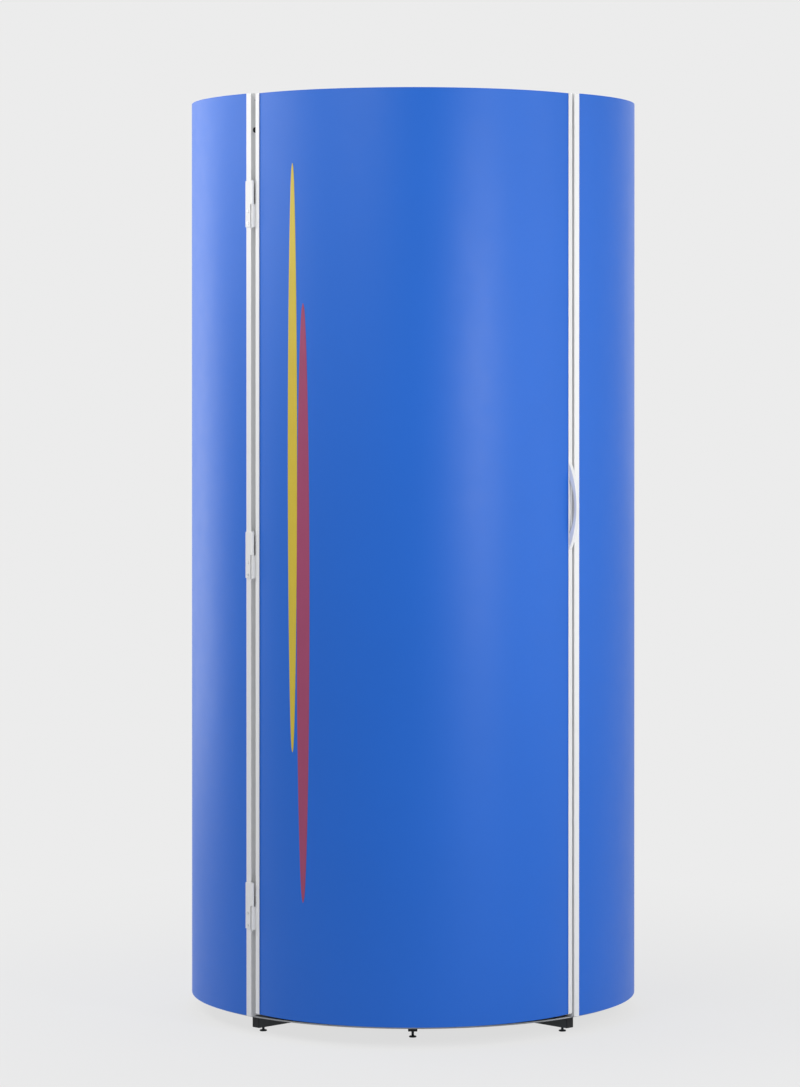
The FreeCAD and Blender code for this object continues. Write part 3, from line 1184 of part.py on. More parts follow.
def write_door():
    write("door_skin", door_skin())
    write("door_stiles", stile(-1), stile(1))
    write("door_rails", door_rail(False), door_rail(True), *door_bank_brackets())
    write("door_handle", door_handle())
    write("door_inside_pull", door_pull())
    write("catch_strikes", *strikes())
    write("door_catches", *catches())
    write("hinge_door_leaves", *[door_leaf(bottom) for bottom in hinge_bottoms()])
    write("hinge_post_leaves", *[post_leaf(bottom) for bottom in hinge_bottoms()])
    write("hinge_pins", *[hinge_pin(bottom) for bottom in hinge_bottoms()])
    write("hinge_screws", *hinge_screws())


def write_ceiling():
    write("ceiling", ceiling())
    write("grab_handles", grab_handle(-1), grab_handle(1))
    write("fan_duct", duct())
    write("fan_motor", fan_motor())
    write("fan_rotor", fan_rotor())
    write("fan_grilles", grille(ROOF_TOP), grille(CEILING_BOTTOM - GRILLE_WIRE))


def write_controls():
    write("control_box", control_box())
    write("start_button", start_button())
    write("stop_button", stop_button())
    write("switches_and_timer", timer(), *switch_blocks())
    write("timer_knob", timer_knob())


os.makedirs("parts", exist_ok=True)
write_base()
write_shell()
write_banks("cabin", (LEFT, RIGHT, REAR), TRAY_TOP + SEAT)
write_banks("door", (DOOR,), DOOR_BOTTOM)
write_door()
write_ceiling()
write_controls()
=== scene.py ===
"""Looks of the vertical tanning booth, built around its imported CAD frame.

Metres, +Z up, origin on the floor below the booth's axis. The door faces -Y.
"""

import json
import math

import bmesh
import bpy
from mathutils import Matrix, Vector

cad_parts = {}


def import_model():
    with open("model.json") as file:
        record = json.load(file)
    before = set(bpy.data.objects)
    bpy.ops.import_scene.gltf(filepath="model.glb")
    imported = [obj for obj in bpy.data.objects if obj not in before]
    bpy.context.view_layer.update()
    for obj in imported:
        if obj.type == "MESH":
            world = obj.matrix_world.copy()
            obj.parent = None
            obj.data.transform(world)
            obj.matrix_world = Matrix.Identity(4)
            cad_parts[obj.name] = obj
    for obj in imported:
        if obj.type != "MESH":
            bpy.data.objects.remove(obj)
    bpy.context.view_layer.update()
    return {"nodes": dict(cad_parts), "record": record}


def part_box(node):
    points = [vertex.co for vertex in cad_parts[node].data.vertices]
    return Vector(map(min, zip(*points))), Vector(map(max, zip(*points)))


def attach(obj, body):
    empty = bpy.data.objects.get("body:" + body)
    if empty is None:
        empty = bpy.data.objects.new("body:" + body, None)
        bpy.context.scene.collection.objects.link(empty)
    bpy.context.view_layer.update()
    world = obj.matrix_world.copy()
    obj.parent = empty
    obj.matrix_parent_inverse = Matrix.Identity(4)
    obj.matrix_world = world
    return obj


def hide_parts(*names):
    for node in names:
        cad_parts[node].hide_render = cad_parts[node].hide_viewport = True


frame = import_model()
NODES = frame["nodes"]
SLOTS = {part["node"]: part["material_slot"] for part in frame["record"]["subparts"]}
BODIES = {node: body for body, nodes in frame["record"]["behaviour"]["bodies"].items() for node in nodes}
JOINTS = {joint["name"]: joint for joint in frame["record"]["behaviour"]["joints"]}

# ---------------------------------------------------------------- sizes, in metres
# Plan of the shell, as in the part's source
SIDE_RADIUS = 0.5
DOOR_FRONT = 0.54
CORNER_ANGLE = math.radians(42.8)
CORNER_X = SIDE_RADIUS * math.sin(CORNER_ANGLE)
CORNER_Y = SIDE_RADIUS * math.cos(CORNER_ANGLE)
DOOR_RISE = DOOR_FRONT - CORNER_Y
DOOR_RADIUS = (CORNER_X ** 2 + DOOR_RISE ** 2) / (2.0 * DOOR_RISE)
DOOR_CENTRE = DOOR_FRONT - DOOR_RADIUS

# Tubes, over their end caps
LAMP_BOTTOM = 0.0846
LAMP_TOP = 1.8446
LAMP_CAP = 0.018
GREY_END = 0.075              # how far from a tube's end its coat is thinner

# Vinyl films on the door
FILM = 0.0002
STRIPE_TIP = 0.0008           # half a stripe's width at its points
STRIPE_TAPER = 0.5            # below 1 keeps a stripe wide over most of its length
STRIPE_STEPS = 120
STRIPE_COLUMNS = 8
# Name, material, degrees from the door's middle, lower and upper ends, and width
STRIPES = (
    ("yellow_stripe", "yellow_film", -37.8, 0.62, 1.88, 0.024),
    ("crimson_stripe", "crimson_film", -33.9, 0.30, 1.58, 0.032),
)

# Levelling feet
PAD_EDGE = 0.0006             # chamfer below a pad's rim
PAD_RIM_TOP = 0.0022
PAD_SHOULDER = 0.0030
PAD_SHOULDER_INSET = 0.0010
PAD_HEIGHT = 0.004
NECK_RADIUS = 0.0028
NECK_FILLET = 0.0005
NECK_FILLET_DROP = 0.0003
STEM_RADIUS = 0.003
THREAD_PITCH = 0.001
THREAD_DEPTH = 0.00035
THREAD_STEPS = 4              # rows of vertices in each turn of the thread
FOOT_COLUMNS = 24

# Timer's printed scale, and the pointer on its knob
TIMER_STROKES = 11
BOLD_EVERY = 5                # strokes to each bold one
TIMER_SCALE_RADIUS = 0.0158
STROKE_LENGTH = 0.0018
STROKE_WIDTH = 0.0005
BOLD_WIDTH = 0.0009
STROKE_THICKNESS = 0.0004
KNOB_FRONT = 0.015            # the grip's front inside the panel's face
POINTER_LENGTH = 0.0085
POINTER_WIDTH = 0.0014
POINTER_MIDDLE = 0.0075       # above the knob's axis
POINTER_THICKNESS = 0.0003
STROKE_END_STEPS = 5

# Plug in the left post's side
POST_ANGLE = math.radians(44.2)
PLUG_HEIGHT = 1.958
PLUG_DEPTH = 0.0095           # the plug's middle inside the sides' circle
PLUG_RADIUS = 0.006
PLUG_SUNK = 0.0003
PLUG_RIM = 0.0004
PLUG_FRONT = 0.0009
PLUG_CHAMFER = 0.0008
PLUG_COLUMNS = 32

# Meshes
SMOOTH_ANGLE = math.radians(35.0)     # edges sharper than this stay sharp, or are rounded
FLAT_ANGLE = math.radians(0.4)        # faces that meet flatter than this become one before rounding
SAME_PLACE = 1e-5

# Radius of the rounded edges of each node, and the steps round it
EDGES = (
    ("front_posts", 0.0006, 2),
    ("door_stiles", 0.0006, 2),
    ("rear_posts", 0.0006, 2),
    ("hinge_post_leaves", 0.0005, 2),
    ("hinge_door_leaves", 0.0004, 2),
    ("hinge_pins", 0.0004, 2),
    ("door_handle", 0.0028, 3),
    ("door_inside_pull", 0.0028, 3),
    ("grab_handles", 0.0015, 3),
    ("beam_end_caps", 0.0008, 2),
    ("base_frame", 0.0008, 2),
    ("control_box", 0.0012, 3),
    ("start_button", 0.0008, 3),
    ("stop_button", 0.0012, 3),
    ("timer_knob", 0.0012, 3),
    ("fan_motor", 0.0015, 3),
    ("terminal_box", 0.0020, 3),
    ("cable_gland", 0.0006, 2),
    ("hinge_screws", 0.0004, 2),
    ("deck_mat", 0.0006, 2),
    ("deck", 0.0008, 2),
    ("cabin_lamp_trims", 0.0005, 2),
    ("door_lamp_trims", 0.0005, 2),
)

# ---------------------------------------------------------------- stage, metres, degrees and watts
BACKGROUND = 0.838            # the photograph's pale grey, linear
AMBIENT = 0.25                # strength of the even light from all round
FLOOR_RADIUS = 9.0
FLOOR_SEGMENTS = 96
FLOOR_COLOUR = 0.80
FLOOR_SHADOW = 0.16           # share of the lit floor in what the camera sees beside the booth
SHADOW_REACH = 0.5            # from the booth's axis, where that share starts to fade
SHADOW_END = 2.2

# Camera, found by fitting the booth's edges, strips, hinges and feet to the photograph
CAMERA_PLACE = (0.0187, -8.216, 1.418)
CAMERA_TILT = -0.0042         # radians above level
CAMERA_TURN = 0.0059          # radians to the left
CAMERA_LENS = 120.2           # millimetres, on the sensor below
CAMERA_SENSOR = 36.0
CAMERA_SHIFT = -0.1371

# Name, azimuth from the front, reach, height, height aimed at, power, and width and height of each soft box
LAMPS = (
    ("left_high", -105.0, 3.0, 2.9, 1.3, 18.0, (2.3, 1.1)),
    ("left_tall", -125.0, 2.8, 1.4, 1.3, 18.4, (1.4, 2.2)),
    ("left_near", -75.0, 2.0, 2.2, 1.5, 11.8, (1.4, 1.2)),
    ("front_left", -28.0, 3.0, 2.7, 1.8, 23.5, (1.7, 0.9)),
    ("right_strip", 36.0, 3.0, 1.45, 1.3, 26.0, (0.45, 0.9)),
    ("right_high", 62.0, 3.0, 2.9, 1.3, 13.0, (2.0, 1.1)),
    ("right_tall", 75.0, 2.4, 1.5, 1.3, 8.0, (1.0, 2.0)),
    ("rear_right", 150.0, 3.0, 2.0, 1.3, 6.0, (2.2, 2.0)),
    ("rear", 180.0, 3.2, 2.9, 1.3, 34.0, (2.6, 1.1)),
)


# ---------------------------------------------------------------- node materials
# Share of a face's normal that points up, on what still counts as upright and what already counts as level
UPRIGHT = 0.4
LEVEL = 0.6

# Moulded and coated surfaces
PEEL_DEPTH = 0.0004
GLOSS_SCALE = 5.0             # patches of gloss to each cloud
GLOSS_SPREAD = 0.15


class Paint:
    """A Principled material whose colour, roughness and bump come from nodes."""

    def __init__(self, name, metallic=0.0, ior=1.45, specular=0.5, coat=0.0, coat_roughness=0.1):
        self.material = bpy.data.materials.new(name)
        self.material.use_nodes = True
        self.tree = self.material.node_tree
        self.shader = self.tree.nodes["Principled BSDF"]
        for socket, value in (("Metallic", metallic), ("IOR", ior), ("Specular IOR Level", specular),
                              ("Coat Weight", coat), ("Coat Roughness", coat_roughness)):
            self.shader.inputs[socket].default_value = value
        self.place = self.tree.nodes.new("ShaderNodeTexCoord").outputs["Object"]

    def node(self, kind, **values):
        made = self.tree.nodes.new(kind)
        for key, value in values.items():
            setattr(made, key, value)
        return made

    def join(self, source, target):
        self.tree.links.new(source, target)

    def stretched(self, scale):
        """The object's coordinates, scaled differently along each axis."""
        mapping = self.node("ShaderNodeMapping")
        mapping.inputs["Scale"].default_value = scale
        self.join(self.place, mapping.inputs["Vector"])
        return mapping.outputs["Vector"]

    def noise(self, scale, detail=3.0, roughness=0.5, vector=None, distortion=0.0):
        made = self.node("ShaderNodeTexNoise")
        made.inputs["Scale"].default_value = scale
        made.inputs["Detail"].default_value = detail
        made.inputs["Roughness"].default_value = roughness
        made.inputs["Distortion"].default_value = distortion
        self.join(vector or self.place, made.inputs["Vector"])
        return made.outputs["Fac"]

    def cells(self, scale):
        """Distance to the middle of the nearest of many small cells."""
        made = self.node("ShaderNodeTexVoronoi", feature="F1")
        made.inputs["Scale"].default_value = scale
        self.join(self.place, made.inputs["Vector"])
        return made.outputs["Distance"]

    def ranged(self, source, low, high, from_low=0.0, from_high=1.0, smooth=False):
        """A value carried from one range to another, and kept inside the new one."""
        made = self.node("ShaderNodeMapRange", interpolation_type="SMOOTHSTEP" if smooth else "LINEAR")
        for socket, value in (("From Min", from_low), ("From Max", from_high),
                              ("To Min", low), ("To Max", high)):
            made.inputs[socket].default_value = value
        self.join(source, made.inputs["Value"])
        return made.outputs["Result"]

    def calculated(self, operation, first, second):
        """An operation on two values, each a socket or a number."""
        made = self.node("ShaderNodeMath", operation=operation)
        for socket, value in zip(made.inputs, (first, second)):
            if isinstance(value, (int, float)):
                socket.default_value = value
            else:
                self.join(value, socket)
        return made.outputs["Value"]

    def mix(self, amount, first, second):
        """A blend of two colours, each a socket or three numbers."""
        made = self.node("ShaderNodeMix", data_type="RGBA")
        self.join(amount, made.inputs["Factor"])
        colours = [socket for socket in made.inputs if socket.type == "RGBA"]
        for socket, value in zip(colours, (first, second)):
            if isinstance(value, bpy.types.NodeSocket):
                self.join(value, socket)
            else:
                socket.default_value = (*value, 1.0)
        return next(socket for socket in made.outputs if socket.type == "RGBA")

    def colour(self, value):
        self.join(value, self.shader.inputs["Base Color"])

    def rough(self, value):
        self.join(value, self.shader.inputs["Roughness"])

    def bump(self, height, strength, distance):
        made = self.node("ShaderNodeBump")
        made.inputs["Strength"].default_value = strength
        made.inputs["Distance"].default_value = distance
        self.join(height, made.inputs["Height"])
        self.join(made.outputs["Normal"], self.shader.inputs["Normal"])

    def height_in_frame(self):
        """Z of the object's own coordinates."""
        split = self.node("ShaderNodeSeparateXYZ")
        self.join(self.place, split.inputs["Vector"])
        return split.outputs["Z"]

    def facing_up(self):
        """1 on level faces, 0 on upright ones."""
        geometry = self.node("ShaderNodeNewGeometry")
        split = self.node("ShaderNodeSeparateXYZ")
        self.join(geometry.outputs["Normal"], split.inputs["Vector"])
        return self.calculated("ABSOLUTE", split.outputs["Z"], 0.0)

    def by_slope(self, upright, level):
        """One colour on upright faces and another on level ones."""
        return self.mix(self.ranged(self.facing_up(), 0.0, 1.0, UPRIGHT, LEVEL), upright, level)


def tinted(colour, factor):
    """The colour made darker or lighter, and no lighter than white."""
    return tuple(min(1.0, channel * factor) for channel in colour)


def clouded(paint, clouds, colour, spread):
    """The colour, a little darker in some places and lighter in others."""
    return paint.mix(clouds, tinted(colour, 1.0 - spread), tinted(colour, 1.0 + spread))


def coated(name, colour, rough, tint, peel, peel_scale, cloud_scale, shader):
    """Powder coat or moulded plastic: faint clouding, uneven gloss and a fine orange peel."""
    paint = Paint(name, **shader)
    paint.colour(clouded(paint, paint.noise(cloud_scale, detail=4.0), colour, tint))
    gloss = paint.noise(cloud_scale * GLOSS_SCALE)
    paint.rough(paint.ranged(gloss, rough * (1.0 - GLOSS_SPREAD), rough * (1.0 + GLOSS_SPREAD)))
    paint.bump(paint.noise(peel_scale, detail=2.0), strength=peel, distance=PEEL_DEPTH)
    return paint


def brushed(name, colour, rough, along, scale):
    """Metal with fine straight marks left by rolling or brushing, long where along is small."""
    paint = Paint(name, metallic=1.0)
    marks = paint.noise(scale, detail=4.0, roughness=0.6, vector=paint.stretched(along))
    base = clouded(paint, paint.noise(9.0, detail=4.0), colour, 0.08)
    paint.colour(paint.mix(paint.ranged(marks, 0.0, 0.35), base, tinted(colour, 0.8)))
    paint.rough(paint.ranged(marks, rough * 0.8, rough * 1.3))
    paint.bump(marks, strength=0.08, distance=0.0002)
    return paint


def blue_paint(name):
    """Smooth satin coat on the skins."""
    paint = Paint(name, ior=1.5)
    colour = (0.001, 0.130, 0.64)
    clouds = paint.noise(3.2, detail=5.0, roughness=0.55)
    grain = paint.noise(150.0, detail=3.0, roughness=0.6)
    base = clouded(paint, clouds, colour, 0.05)
    paint.colour(paint.mix(paint.ranged(grain, 0.0, 0.22), base, tinted(colour, 0.86)))
    paint.rough(paint.ranged(paint.noise(24.0, detail=4.0), 0.44, 0.52))
    paint.bump(paint.noise(380.0, detail=2.0), strength=0.10, distance=0.0003)
    return paint


def zinc_steel(name):
    """Galvanised sheet with its spangle."""
    paint = Paint(name, metallic=1.0)
    spangle = paint.cells(70.0)
    paint.colour(paint.mix(paint.ranged(spangle, 0.0, 1.0, 0.0, 0.9), (0.52, 0.54, 0.56), (0.68, 0.69, 0.70)))
    paint.rough(paint.ranged(spangle, 0.38, 0.54, 0.0, 0.8))
    paint.bump(paint.noise(420.0, detail=3.0), strength=0.06, distance=0.0002)
    return paint


def birch_ply(name):
    """Sanded face with long grain, and layered edges."""
    paint = Paint(name, specular=0.35)
    grain = paint.noise(26.0, detail=6.0, roughness=0.6, vector=paint.stretched((0.35, 3.2, 3.2)),
                        distortion=0.6)
    fibres = paint.noise(240.0, detail=3.0, roughness=0.6, vector=paint.stretched((0.08, 1.0, 1.0)))
    face = paint.mix(paint.ranged(grain, 0.0, 1.0, 0.3, 0.7), (0.70, 0.53, 0.34), (0.80, 0.65, 0.45))
    face = paint.mix(paint.ranged(fibres, 0.0, 0.3), face, (0.52, 0.36, 0.21))
    layer = paint.calculated("PINGPONG", paint.height_in_frame(), 0.0015)
    edge = paint.mix(paint.ranged(layer, 0.0, 1.0, 0.0005, 0.0010), (0.72, 0.56, 0.37), (0.42, 0.28, 0.16))
    paint.colour(paint.by_slope(edge, face))
    paint.rough(paint.ranged(grain, 0.5, 0.68))
    paint.bump(fibres, strength=0.18, distance=0.0003)
    return paint


def black_rubber(name):
    """Mat worn a little paler in patches."""
    paint = Paint(name, ior=1.5, specular=0.4)
    speckle = paint.noise(620.0, detail=2.0, roughness=0.7)
    wear = paint.noise(7.0, detail=5.0, roughness=0.6)
    base = paint.mix(paint.ranged(wear, 0.0, 1.0, 0.35, 0.7), (0.022, 0.022, 0.024), (0.045, 0.045, 0.047))
    paint.colour(paint.mix(paint.ranged(speckle, 0.0, 0.5, 0.5, 0.8), base, (0.10, 0.10, 0.10)))
    paint.rough(paint.ranged(wear, 0.62, 0.8))
    paint.bump(speckle, strength=0.35, distance=0.0004)
    return paint


def tube_glass(name):
    """Phosphor-coated tube: milky white, with a thinner, greyer coat near each end."""
    paint = Paint(name, ior=1.5, coat=0.6, coat_roughness=0.04)
    height = paint.height_in_frame()
    low = paint.ranged(height, 1.0, 0.0, LAMP_BOTTOM + LAMP_CAP, LAMP_BOTTOM + GREY_END, smooth=True)
    high = paint.ranged(height, 0.0, 1.0, LAMP_TOP - GREY_END, LAMP_TOP - LAMP_CAP, smooth=True)
    ends = paint.calculated("ADD", low, high)
    powder = paint.noise(60.0, detail=4.0)
    milk = paint.mix(powder, (0.80, 0.83, 0.87), (0.88, 0.90, 0.93))
    paint.colour(paint.mix(paint.calculated("MULTIPLY", ends, 0.75), milk, (0.42, 0.43, 0.47)))
    paint.rough(paint.ranged(powder, 0.28, 0.4))
    paint.bump(paint.noise(900.0, detail=2.0), strength=0.03, distance=0.0002)
    return paint


def grey_sheet(name):
    """Tray: level faces above and below painted black as shade, for the dark gap under the door, and a bare
    rim painted paler as if lit.
    """
    paint = Paint(name, specular=0.45)
    clouds = paint.noise(9.0, detail=4.0)
    # Painted shade: level faces black for the dark gap under the door; the bare rim is painted paler, a
    # painted highlight as if lit
    painted_shade_level = paint.mix(clouds, (0.012, 0.013, 0.015), (0.024, 0.025, 0.028))
    bare_rim_and_highlight = paint.mix(clouds, (0.40, 0.41, 0.42), (0.50, 0.51, 0.52))
    paint.colour(paint.by_slope(bare_rim_and_highlight, painted_shade_level))
    paint.rough(paint.ranged(paint.noise(40.0, detail=3.0), 0.38, 0.5))
    paint.bump(paint.noise(480.0, detail=2.0), strength=0.12, distance=0.0004)
    return paint


def grey_foam(name):
    """Open-celled strip of the door's seals."""
    paint = Paint(name, specular=0.25)
    pores = paint.cells(900.0)
    paint.colour(paint.mix(pores, (0.10, 0.10, 0.105), (0.24, 0.24, 0.25)))
    paint.rough(paint.ranged(pores, 0.75, 0.95))
    paint.bump(pores, strength=0.6, distance=0.0006)
    return paint


def black_steel(name):
    """Satin black coat with a little grey scuffing."""
    paint = Paint(name, specular=0.45)
    scuff = paint.noise(38.0, detail=6.0, roughness=0.7)
    base = paint.mix(paint.noise(8.0, detail=3.0), (0.018, 0.024, 0.029), (0.030, 0.039, 0.046))
    paint.colour(paint.mix(paint.ranged(scuff, 0.0, 0.5, 0.62, 0.75), base, (0.09, 0.10, 0.11)))
    paint.rough(paint.ranged(scuff, 0.34, 0.52))
    paint.bump(paint.noise(520.0, detail=2.0), strength=0.2, distance=0.0004)
    return paint


# Name, colour, roughness, spread of its tint, strength and scale of its orange peel, scale of its clouds, and
# what its shader has besides
COATS = (
    ("black_plastic", (0.010, 0.011, 0.013), 0.52, 0.12, 0.3, 700.0, 12.0, {"specular": 0.3}),
    ("white_extrusion", (0.88, 0.885, 0.89), 0.32, 0.015, 0.06, 520.0, 5.0,
     {"coat": 0.15, "coat_roughness": 0.15}),
    ("white_sheet", (0.70, 0.71, 0.72), 0.46, 0.03, 0.12, 460.0, 4.0, {}),
    ("grey_plastic", (0.20, 0.21, 0.22), 0.45, 0.06, 0.3, 800.0, 14.0, {}),
    ("white_plastic", (0.74, 0.74, 0.72), 0.4, 0.03, 0.12, 700.0, 14.0, {}),
    ("white_handle", (0.88, 0.885, 0.89), 0.22, 0.02, 0.05, 600.0, 9.0,
     {"coat": 0.3, "coat_roughness": 0.08}),
    ("white_hinge", (0.87, 0.875, 0.88), 0.3, 0.03, 0.08, 600.0, 20.0, {}),
    ("guard_wire", (0.74, 0.75, 0.76), 0.3, 0.03, 0.08, 700.0, 20.0, {"coat": 0.2}),
    ("ballast_case", (0.60, 0.60, 0.56), 0.38, 0.05, 0.1, 500.0, 20.0, {}),
    ("motor_grey", (0.07, 0.075, 0.08), 0.4, 0.1, 0.25, 500.0, 20.0, {}),
    ("panel_grey", (0.50, 0.51, 0.53), 0.34, 0.03, 0.2, 900.0, 14.0, {}),
    ("green_button", (0.012, 0.26, 0.05), 0.2, 0.06, 0.05, 700.0, 60.0, {"coat": 0.3}),
    ("red_button", (0.45, 0.010, 0.010), 0.2, 0.06, 0.05, 700.0, 60.0, {"coat": 0.3}),
    ("black_knob", (0.016, 0.016, 0.017), 0.25, 0.1, 0.1, 900.0, 60.0, {"coat": 0.2}),
    ("yellow_film", (0.66, 0.50, 0.045), 0.34, 0.05, 0.06, 600.0, 18.0, {}),
    ("crimson_film", (0.34, 0.055, 0.14), 0.34, 0.06, 0.06, 600.0, 18.0, {}),
)
# Name, colour, roughness, the marks' stretch along each axis, and their scale
METALS = (
    ("bright_aluminium", (0.80, 0.81, 0.82), 0.24, (1.0, 1.0, 0.02), 700.0),
    ("cap_aluminium", (0.72, 0.73, 0.74), 0.3, (0.05, 0.05, 1.0), 900.0),
)
SPECIAL = (blue_paint, zinc_steel, birch_ply, black_rubber, tube_glass, grey_foam, black_steel, grey_sheet)

MATERIALS = {make.__name__: make(make.__name__).material for make in SPECIAL}
MATERIALS.update((row[0], coated(*row).material) for row in COATS)
MATERIALS.update((row[0], brushed(*row).material) for row in METALS)


def finish_nodes():
    """Gives each CAD node the material of its slot."""
    for name, node in NODES.items():
        for index in range(len(node.material_slots)):
            node.material_slots[index].material = MATERIALS[SLOTS[name]]


# ---------------------------------------------------------------- pieces
def piece(name, mesh, material, body):
    """An object with this mesh and material that rides on a body."""
    for polygon in mesh.polygons:
        polygon.use_smooth = True
    mesh.set_sharp_from_angle(angle=SMOOTH_ANGLE)
    made = bpy.data.objects.new(name, mesh)
    bpy.context.scene.collection.objects.link(made)
    made.data.materials.clear()
    made.data.materials.append(MATERIALS[material])
    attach(made, body)
    return made


def finished(made, name, material, body):
    """The piece that a closed mesh in the making becomes."""
    bmesh.ops.recalc_face_normals(made, faces=made.faces)
    mesh = bpy.data.meshes.new(name)
    made.to_mesh(mesh)
    made.free()
    return piece(name, mesh, material, body)


def stands_for(made, node):
    """Hides the CAD node, so the piece is shown in its place."""
    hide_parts(node)


def close_band(made, low, high):
    """Faces between two rings of vertices."""
    for index in range(len(low)):
        after = (index + 1) % len(low)
        made.faces.new((low[index], low[after], high[after], high[index]))


def stacked(rings):
    """A closed solid through rings of places."""
    made = bmesh.new()
    rings = [[made.verts.new(place) for place in ring] for ring in rings]
    for low, high in zip(rings, rings[1:]):
        close_band(made, low, high)
    made.faces.new(list(reversed(rings[0])))
    made.faces.new(rings[-1])
    return made


def turns(count):
    """Angles evenly round a circle."""
    return [2.0 * math.pi * index / count for index in range(count)]


def on_door(angle, height, radius):
    """A point on an arc about the door's axis; the angle is in degrees from the front."""
    turn = math.radians(angle)
    return Vector((radius * math.sin(turn), -DOOR_CENTRE - radius * math.cos(turn), height))


def stripe(name, material, centre, bottom, top, width):
    """Vinyl film on the door's skin, widest in the middle and drawn out to a point at both ends."""
    made = bmesh.new()
    rows = []
    for step in range(STRIPE_STEPS + 1):
        share = step / STRIPE_STEPS
        height = bottom + (top - bottom) * share
        half = 0.5 * width * math.sin(math.pi * share) ** STRIPE_TAPER + STRIPE_TIP
        row = []
        for column in range(STRIPE_COLUMNS + 1):
            offset = half * (2.0 * column / STRIPE_COLUMNS - 1.0)
            angle = centre + math.degrees(offset / DOOR_RADIUS)
            row.append((made.verts.new(on_door(angle, height, DOOR_RADIUS + FILM)),
                        made.verts.new(on_door(angle, height, DOOR_RADIUS))))
        rows.append(row)
    for low, high in zip(rows, rows[1:]):
        for column in range(STRIPE_COLUMNS):
            a, b, c, d = low[column], low[column + 1], high[column + 1], high[column]
            made.faces.new((a[0], b[0], c[0], d[0]))
            made.faces.new((d[1], c[1], b[1], a[1]))
        made.faces.new((low[0][1], low[0][0], high[0][0], high[0][1]))
        made.faces.new((low[-1][0], low[-1][1], high[-1][1], high[-1][0]))
    for row in (rows[0], rows[-1]):
        for column in range(STRIPE_COLUMNS):
            made.faces.new((row[column][0], row[column][1], row[column + 1][1], row[column + 1][0]))
    finished(made, name, material, "door")


def thread_radius(height, turn):
    """Radius of the stem's helical ridge at a height and an angle."""
    share = (height / THREAD_PITCH - turn / (2.0 * math.pi)) % 1.0
    return STEM_RADIUS - THREAD_DEPTH * abs(2.0 * share - 1.0)


def levelling_foot(node):
    """Turned pad with a chamfered rim, on a threaded stem."""
    low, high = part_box(node)
    centre = (low + high) / 2.0
    pad = (high.x - low.x) / 2.0
    angles = turns(FOOT_COLUMNS)
    rows = [(height, [radius] * FOOT_COLUMNS) for height, radius in (
        (0.0, pad - PAD_EDGE),
        (PAD_EDGE, pad),
        (PAD_RIM_TOP, pad),
        (PAD_SHOULDER, pad - PAD_SHOULDER_INSET),
        (PAD_HEIGHT - NECK_FILLET_DROP, NECK_RADIUS + NECK_FILLET),
        (PAD_HEIGHT, NECK_RADIUS))]
    rise = THREAD_PITCH / THREAD_STEPS
    for step in range(1, round((high.z - PAD_HEIGHT) / rise)):
        height = PAD_HEIGHT + step * rise
        rows.append((height, [thread_radius(height, turn) for turn in angles]))
    rows.append((high.z, [STEM_RADIUS - 2.0 * THREAD_DEPTH] * FOOT_COLUMNS))
    rings = [[(centre.x + radius * math.cos(turn), centre.y + radius * math.sin(turn), height)
              for turn, radius in zip(angles, radii)] for height, radii in rows]
    stands_for(finished(stacked(rings), node + "_turned", SLOTS[node], BODIES[node]), node)


def pill(length, width):
    """Outline of a stroke with round ends, along its second axis."""
    half = width / 2.0
    reach = length / 2.0 - half
    points = []
    for end in (1.0, -1.0):
        for step in range(STROKE_END_STEPS + 1):
            turn = math.pi * step / STROKE_END_STEPS
            points.append((end * half * math.cos(turn), end * (reach + half * math.sin(turn))))
    return points


def add_prism(made, outline, onto, thickness):
    """Adds a thin stroke to a mesh; onto() turns outline coordinates and a lift into a place."""
    low = [made.verts.new(onto(across, up, -thickness / 2.0)) for across, up in outline]
    high = [made.verts.new(onto(across, up, thickness / 2.0)) for across, up in outline]
    close_band(made, low, high)
    made.faces.new(high)
    made.faces.new(list(reversed(low)))


def at_timer(face_in, right, up):
    """A place beside the timer's axis, on the panel's face or so far inside it, seen from the cabin."""
    seat = Vector(JOINTS["timer_knob_turn"]["pos_m"])
    face = math.hypot(seat.x, seat.y)
    turn = math.atan2(seat.x, -seat.y) - right / face
    radius = face - face_in
    return Vector((radius * math.sin(turn), -radius * math.cos(turn), seat.z + up))


def timer_scale():
    """Printed strokes round the timer's knob, from its rest to its end stop."""
    made = bmesh.new()
    end = JOINTS["timer_knob_turn"]["range_deg"][1]
    for index in range(TIMER_STROKES):
        turn = math.radians(end * index / (TIMER_STROKES - 1))
        width = STROKE_WIDTH if index % BOLD_EVERY else BOLD_WIDTH

        def onto(across, up, lift, turn=turn):
            reach = TIMER_SCALE_RADIUS + up
            right = across * math.cos(turn) + reach * math.sin(turn)
            above = reach * math.cos(turn) - across * math.sin(turn)
            return at_timer(lift, right, above)
        add_prism(made, pill(STROKE_LENGTH, width), onto, STROKE_THICKNESS)
    finished(made, "timer_scale", "black_knob", "cabinet")


def timer_pointer():
    """White stroke on the knob's grip."""
    made = bmesh.new()

    def onto(across, up, lift):
        return at_timer(KNOB_FRONT + lift, across, up + POINTER_MIDDLE)
    add_prism(made, pill(POINTER_LENGTH, POINTER_WIDTH), onto, POINTER_THICKNESS)
    finished(made, "timer_pointer", "white_plastic", "timer_knob")


